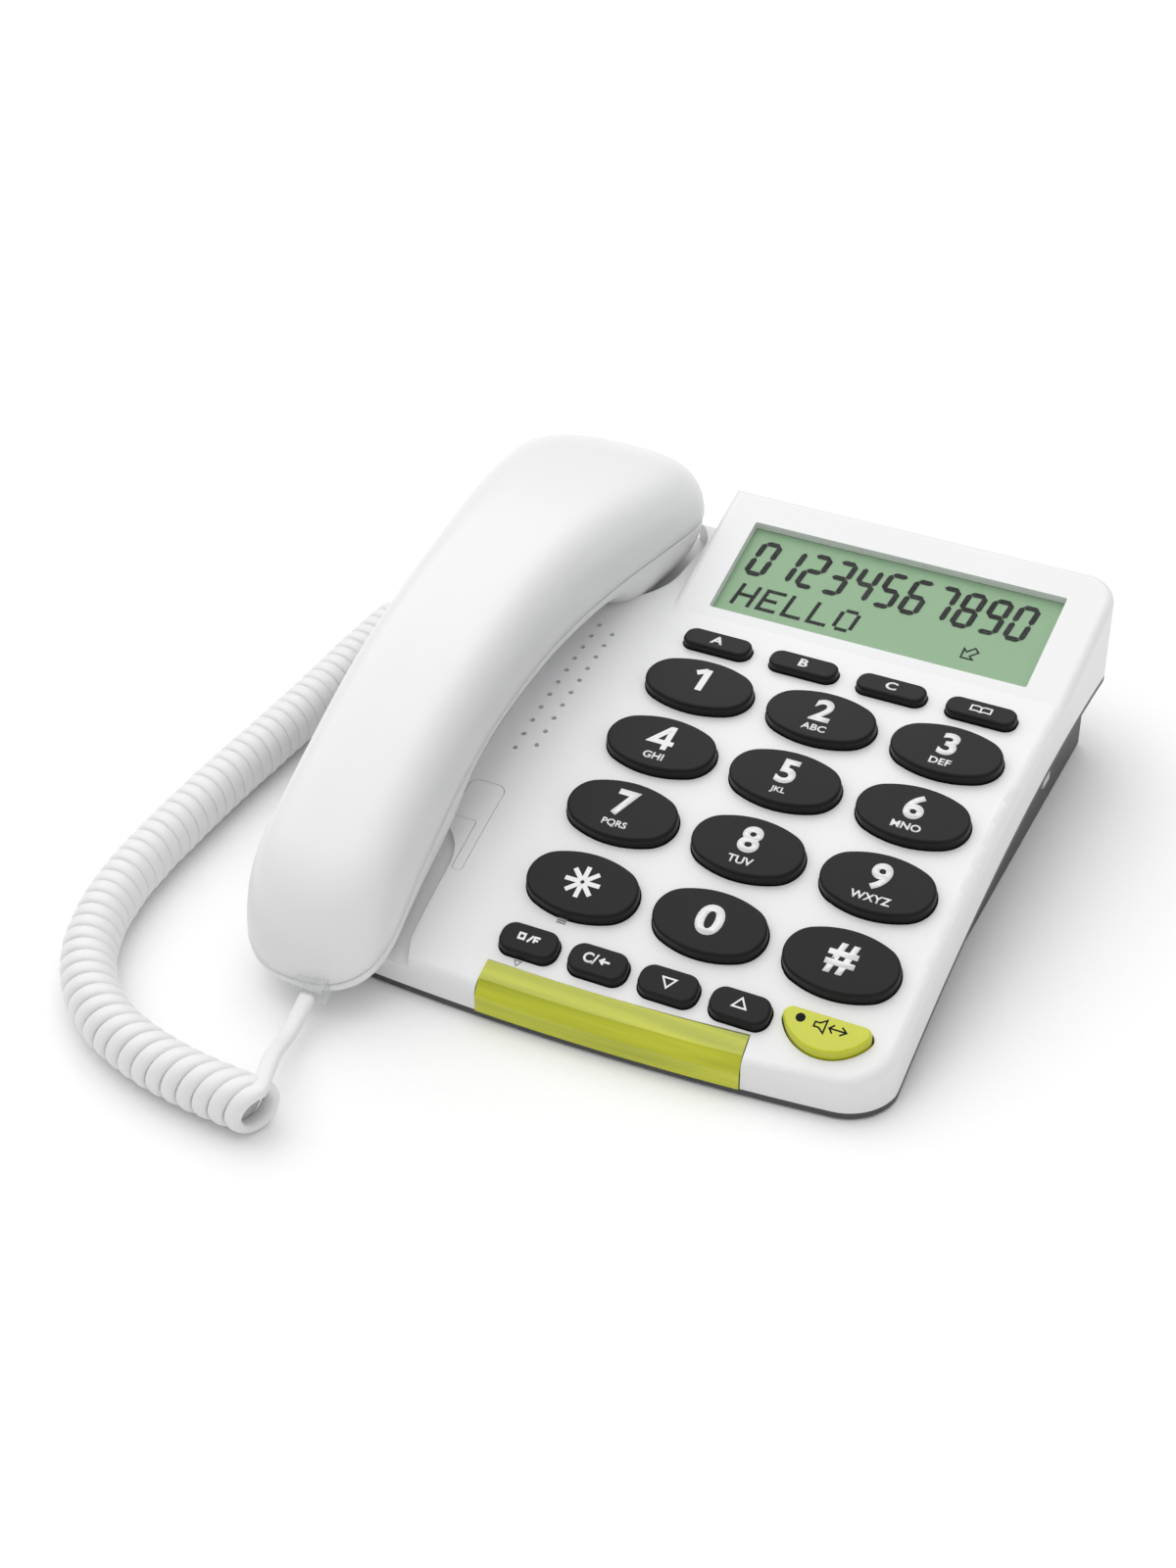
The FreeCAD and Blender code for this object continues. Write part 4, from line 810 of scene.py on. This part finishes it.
# %% [markdown]
# The star, the plain figures 1 and 4, the book, the arrows and the loudspeaker sign are drawn as strokes:
# a stroke is a strip of a given width along a few points, and its corners are mitred. Shapes without a
# hollow, such as the bars and dots of the display, are plain filled outlines.


# %% Strokes and filled outlines
def stroke_mesh(strokes, width):
    """A flat mesh of strips along lines of points, in millimetres."""
    points = []
    faces = []
    for line, closed in strokes:
        spots = [Vector((*spot, 0.0)) for spot in line]
        count = len(spots)
        first = len(points)
        for index, spot in enumerate(spots):
            before = spots[index - 1] if index or closed else None
            after = spots[(index + 1) % count] if index < count - 1 or closed else None
            back = (spot - before).normalized() if before is not None else None
            ahead = (after - spot).normalized() if after is not None else back
            back = back if back is not None else ahead
            normal = Vector((-(back + ahead).y, (back + ahead).x, 0.0)).normalized()
            reach = width / 2 / max(0.35, normal.dot(Vector((-ahead.y, ahead.x, 0.0))))
            points += [(spot + normal * reach) * MM, (spot - normal * reach) * MM]
        for index in range(count if closed else count - 1):
            after = (index + 1) % count
            corner = first + 2 * index
            other = first + 2 * after
            faces.append((corner, corner + 1, other + 1, other))
    mesh = bpy.data.meshes.new("strokes")
    mesh.from_pydata([tuple(point) for point in points], [], faces)
    return mesh


def filled(shapes):
    """A flat mesh of filled outlines, in millimetres."""
    points = []
    faces = []
    for shape in shapes:
        faces.append(tuple(range(len(points), len(points) + len(shape))))
        points += [(x * MM, y * MM, 0.0) for x, y in shape]
    mesh = bpy.data.meshes.new("filled")
    mesh.from_pydata(points, [], faces)
    return mesh


def sunburst(radius, inner, arms):
    """Strokes from near the middle outwards."""
    strokes = []
    for index in range(arms):
        turn = math.pi / 2 + 2 * math.pi * index / arms
        near = (inner * math.cos(turn), inner * math.sin(turn))
        strokes.append(([near, (radius * math.cos(turn), radius * math.sin(turn))], False))
    return strokes


def triangle(size, up):
    """A closed triangle that points up or down."""
    sign = 1 if up else -1
    foot = -0.55 * size * sign
    return [([(-size, foot), (size, foot), (0, 0.95 * size * sign)][::sign], True)]


ONE = [([(-2.0, 2.1), (0.5, 3.7)], False), ([(0.75, 4.1), (0.75, -4.1)], False)]
FOUR = [([(1.3, 4.1), (1.3, -4.1)], False), ([(3.2, -1.7), (-2.6, -1.7), (1.0, 3.6)], False)]
DRAWN = {"1": (ONE, 1.75), "4": (FOUR, 1.5), "*": (sunburst(4.5, 0.5, 8), 1.2)}
print("strokes are ready")


# %% [markdown]
# Each big key carries a large figure and, from 2 to 9, its letters underneath.

# %% Figures and letters on the big keys
FIGURES = ["1", "2", "3", "4", "5", "6", "7", "8", "9", "*", "0", "#"]
LETTERS = ["", "ABC", "DEF", "GHI", "JKL", "MNO", "PQRS", "TUV", "WXYZ", "", "", ""]
BIG_KEYS = [f"key_{figure}" for figure in FIGURES[:9]] + ["key_star", "key_0", "key_hash"]
ROWS = [35.1, 11.7, -11.7, -35.1]
KEY_PITCH = 33.0
for index, (figure, letters, body) in enumerate(zip(FIGURES, LETTERS, BIG_KEYS)):
    x = (index % 3 - 1) * KEY_PITCH
    v = ROWS[index // 3]
    tall = 8.6 if figure in "0*#" else 8.2
    lift = {"*": 0.1, "0": 0.2, "#": 0.2, "1": 1.2}.get(figure, 1.7)
    if figure in DRAWN:
        shape = stroke_mesh(*DRAWN[figure])
    else:
        shape = centre_mesh(text_mesh(figure, 10.0, 0.34), tall, 1.2 if figure == "0" else 1.0)
    lay_down(f"figure_{index}", shape, x, v + lift, on_arc(BIG_TOP), KEYPAD, body, "white_housing", white_ink)
    if letters:
        shape = centre_mesh(text_mesh(letters, 3.0, 0.07), 2.3, 1.05)
        place = (x, v - 4.9)
        lay_down(f"letters_{index}", shape, *place, on_arc(BIG_TOP), KEYPAD, body, "white_housing", white_ink)
print("figures laid on", len(BIG_KEYS), "keys")

# %% [markdown]
# The narrow keys above carry letters and a book, the ones below carry signs for mute, clear, down and up.
# Their tops follow an arc about the same centre line as the big keys, half a millimetre lower, so the same
# laying-down step serves them with another radius.


# %% Signs on the small keys
BOOK = [
    ([(0, -1.1), (-1.0, -0.8), (-2.6, -0.9), (-2.6, 1.0), (-1.0, 1.1), (0, 0.8)], True),
    ([(0, -1.1), (0, 0.8), (1.0, 1.1), (2.6, 1.0), (2.6, -0.9), (1.0, -0.8)], True),
]
SMALL = on_arc(SMALL_TOP)
MEMORY_PITCH = 23.75
MENU_PITCH = 18.0


def small_sign(name, shape, x, v, body, ink=white_ink, slot="white_housing"):
    """A printed sign on one of the small keys."""
    return lay_down(name, shape, x, v, SMALL, KEYPAD, body, slot, ink)


for index, letter in enumerate("ABC"):
    shape = centre_mesh(text_mesh(letter, 4.0, 0.12), 3.1, 1.1)
    small_sign(f"memory_{letter}", shape, (index - 1.5) * MEMORY_PITCH, 52.9, f"memory_key_{letter.lower()}")
small_sign("book_sign", stroke_mesh(BOOK, 0.42), 35.6, 52.8, "phone_book_key")
MENU_X = [-11.8 + (index - 1.5) * MENU_PITCH for index in range(4)]
MENU_V = -53.2
MUTE = [
    ([(-2.6, 0.9), (-1.2, 0.9), (-1.2, -0.5), (-2.6, -0.5)], True),
    ([(-0.2, -0.9), (0.9, 1.0)], False),
    ([(1.4, -0.7), (1.4, 0.8), (2.7, 0.8)], False),
    ([(1.4, 0.0), (2.4, 0.0)], False),
]
ARROW = [([(0.6, 0.0), (3.0, 0.0)], False), ([(1.5, 0.8), (0.6, 0.0), (1.5, -0.8)], False)]
small_sign("mute_sign", stroke_mesh(MUTE, 0.55), MENU_X[0], MENU_V, "mute_key")
small_sign("clear_sign", centre_mesh(text_mesh("C/", 3.4, 0.1), 2.8), MENU_X[1] - 1.9, MENU_V, "clear_key")
small_sign("back_sign", stroke_mesh(ARROW, 0.55), MENU_X[1], MENU_V, "clear_key")
small_sign("down_sign", stroke_mesh(triangle(1.7, False), 0.42), MENU_X[2], MENU_V, "down_key")
small_sign("up_sign", stroke_mesh(triangle(1.7, True), 0.42), MENU_X[3], MENU_V, "up_key")
print("small keys are printed")

# %% [markdown]
# The boost key has a dark lamp window and a black loudspeaker outline between two arrow heads. Two small
# marks are printed on the deck beside the first menu key.

# %% Boost key and deck marks
SPEAKER = [
    ([(-3.2, 0.6), (-2.0, 0.6), (-0.6, 1.7), (-0.6, -1.7), (-2.0, -0.6), (-3.2, -0.6)], True),
    ([(0.2, 0.0), (4.6, 0.0)], False),
    ([(3.2, 1.1), (4.6, 0.0), (3.2, -1.1)], False),
    ([(1.4, 1.1), (0.4, 0.0), (1.4, -1.1)], False),
]
LAMP_RADIUS = 1.15
turns = [2 * math.pi * index / 24 for index in range(24)]
disc = [(LAMP_RADIUS * math.cos(turn), LAMP_RADIUS * math.sin(turn)) for turn in turns]
small_sign("boost_lamp", filled([disc]), 29.6, -51.9, "boost_key", black_ink, "key_caps")
small_sign("boost_sign", stroke_mesh(SPEAKER, 0.4), 36.4, -52.4, "boost_key", black_ink, "key_caps")
BARS = [([(-1.2, spot), (1.2, spot)], False) for spot in (-0.6, 0.0, 0.6)]
deck = on_arc(DECK)
shape = stroke_mesh(BARS, 0.38)
lay_down("message_mark", shape, -34.4, -44.6, deck, KEYPAD, "base", "key_caps", grey_ink)
shape = stroke_mesh(triangle(0.9, False), 0.25)
lay_down("lamp_mark", shape, -39.8, -58.4, deck, KEYPAD, "base", "key_caps", grey_ink)
print("boost key and deck marks are printed")

# %% [markdown]
# ## The display
# A liquid-crystal display shows dark segments that seem to float in the glass. They are thin dark shapes
# just above the glass, under the clear window. The upper line is a row of seven-segment figures that lean
# a little. Each figure is a choice of seven bars, named a to g as on a real display.

# %% Figures on the display
BLOCK_TILT = math.radians(14.6)
CREASE = Vector((29.1, 42.3, 37.28)) * MM + BASE_MIDDLE
DISPLAY = Matrix.Translation(CREASE) @ Matrix.Rotation(BLOCK_TILT, 4, "X")
GLASS_TOP = -2.5 * MM
SEGMENTS = {
    "0": "abcdef", "1": "bc", "2": "abged", "3": "abgcd", "4": "fgbc",
    "5": "afgcd", "6": "afgedc", "7": "abc", "8": "abcdefg", "9": "abcdfg",
}
WIDE = 4.3
TALL = 11.4
BAR = 1.5
LEAN = 0.12
FIGURE_PITCH = 7.2


def segment(kind):
    """Corners of one segment of a figure, as a six-sided bar."""
    middle = {
        "a": (WIDE / 2, TALL), "g": (WIDE / 2, TALL / 2), "d": (WIDE / 2, 0.0), "b": (WIDE, TALL * 0.75),
        "c": (WIDE, TALL * 0.25), "e": (0.0, TALL * 0.25), "f": (0.0, TALL * 0.75),
    }[kind]
    flat = kind in "agd"
    long = (WIDE if flat else TALL / 2) / 2 - 0.12
    half = BAR / 2
    inner = long - half
    bar = [(-long, 0), (-inner, half), (inner, half), (long, 0), (inner, -half), (-inner, -half)]
    if not flat:
        bar = [(y, x) for x, y in bar][::-1]
    return [(middle[0] + x + (middle[1] + y) * LEAN, middle[1] + y) for x, y in bar]


def in_glass(_):
    """The level at which the dark shapes float, the same all over the glass."""
    return GLASS_TOP + 0.05 * MM


bars = []
for index, figure in enumerate("01234567890"):
    shift = -40.2 + index * FIGURE_PITCH
    bars += [[(x + shift, y + 20.2) for x, y in segment(kind)] for kind in SEGMENTS[figure]]
lay_down("display_figures", filled(bars), 0, 0, in_glass, DISPLAY, "base", "key_caps", black_ink)
print("display has", len(bars), "segments")

# %% [markdown]
# The lower line is a dot matrix. Each letter is written as seven rows of five ones and noughts, and every
# one becomes a small square, a hair smaller than its cell, so that the grid shows as it does in real glass.

# %% Word and arrow on the display
GRID = {
    "H": "10001 10001 10001 11111 10001 10001 10001",
    "E": "11111 10000 10000 11110 10000 10000 11111",
    "L": "10000 10000 10000 10000 10000 10000 11111",
    "O": "01110 10001 10001 10001 10001 10001 01110",
}
CELL = 1.12
DOT = 1.07
LETTER_PITCH = 7.1
dots = []
for index, letter in enumerate("HELLO"):
    for row, cells in enumerate(GRID[letter].split()):
        for column, cell in enumerate(cells):
            if cell == "1":
                x = -40.0 + index * LETTER_PITCH + column * CELL + (6 - row) * CELL * LEAN
                y = 8.4 + (6 - row) * CELL
                dots.append([(x, y), (x + DOT, y), (x + DOT, y + DOT), (x, y + DOT)])
lay_down("display_word", filled(dots), 0, 0, in_glass, DISPLAY, "base", "key_caps", black_ink)
POINTER = [([(-1.9, -2.0), (1.2, -2.0), (0.2, -1.0), (2.0, 0.8), (0.8, 2.0), (-1.0, 0.2), (-1.9, 1.1)], True)]
shape = stroke_mesh(POINTER, 0.45)
lay_down("display_arrow", shape, 25.6, 12.0, in_glass, DISPLAY, "base", "key_caps", black_ink)
print("display word has", len(dots), "cells")

# %% [markdown]
# ## Floor and light
# A plain pale floor runs far back. White plastic is read from slow gradients, so the light is soft: a
# surround that is brighter overhead than at the horizon, and one broad sun from behind the left shoulder
# of the phone. Faces that look up are then brightest, and those that look at the camera are a little grey.

# %% Floor
floor_bench = Bench("floor_paper")
paper = floor_bench.noise(0.002, 3.0)
floor_colour = floor_bench.mix(paper, (0.93, 0.93, 0.93), (0.95, 0.95, 0.95))
floor_material = floor_bench.finish(floor_colour, 0.8 + paper * 0.1, paper, 1e-5, Specular_IOR_Level=0.1)
SPAN = 6.0
corners = [(-SPAN, -SPAN, 0), (SPAN, -SPAN, 0), (SPAN, SPAN, 0), (-SPAN, SPAN, 0)]
floor = mesh_piece("floor", corners, [(0, 1, 2, 3)], floor_material, smooth=False)
print("floor is", 2 * SPAN, "m wide")

# %% [markdown]
# The surround's strength follows the height of the direction looked in: low at the horizon and high
# overhead. The sun's wide angle makes its shadows as soft as those of a large diffuser. The plain view
# transform keeps the pale tones as they are.

# %% Surround and sun
surround = bpy.data.worlds.new("surround")
surround.use_nodes = True
tree = surround.node_tree
direction = tree.nodes.new("ShaderNodeTexCoord")
height = tree.nodes.new("ShaderNodeSeparateXYZ")
brightness = tree.nodes.new("ShaderNodeMapRange")
tree.links.new(height.inputs[0], direction.outputs["Generated"])
tree.links.new(brightness.inputs["Value"], height.outputs["Z"])
brightness.inputs["To Min"].default_value = 0.42
brightness.inputs["To Max"].default_value = 0.95
tree.links.new(tree.nodes["Background"].inputs["Strength"], brightness.outputs["Result"])
tree.nodes["Background"].inputs["Color"].default_value = (1, 1, 1, 1)
bpy.context.scene.world = surround
sun_data = bpy.data.lights.new("broad_sun", "SUN")
sun_data.energy = 1.2
sun_data.angle = math.radians(75)
broad_sun = bpy.data.objects.new("broad_sun", sun_data)
broad_sun.rotation_euler = Vector((0.5, -0.4, -1.1)).to_track_quat("-Z", "Y").to_euler()
bpy.context.scene.collection.objects.link(broad_sun)
bpy.context.scene.view_settings.view_transform = "Standard"
print("one broad sun and a surround that is brighter overhead")
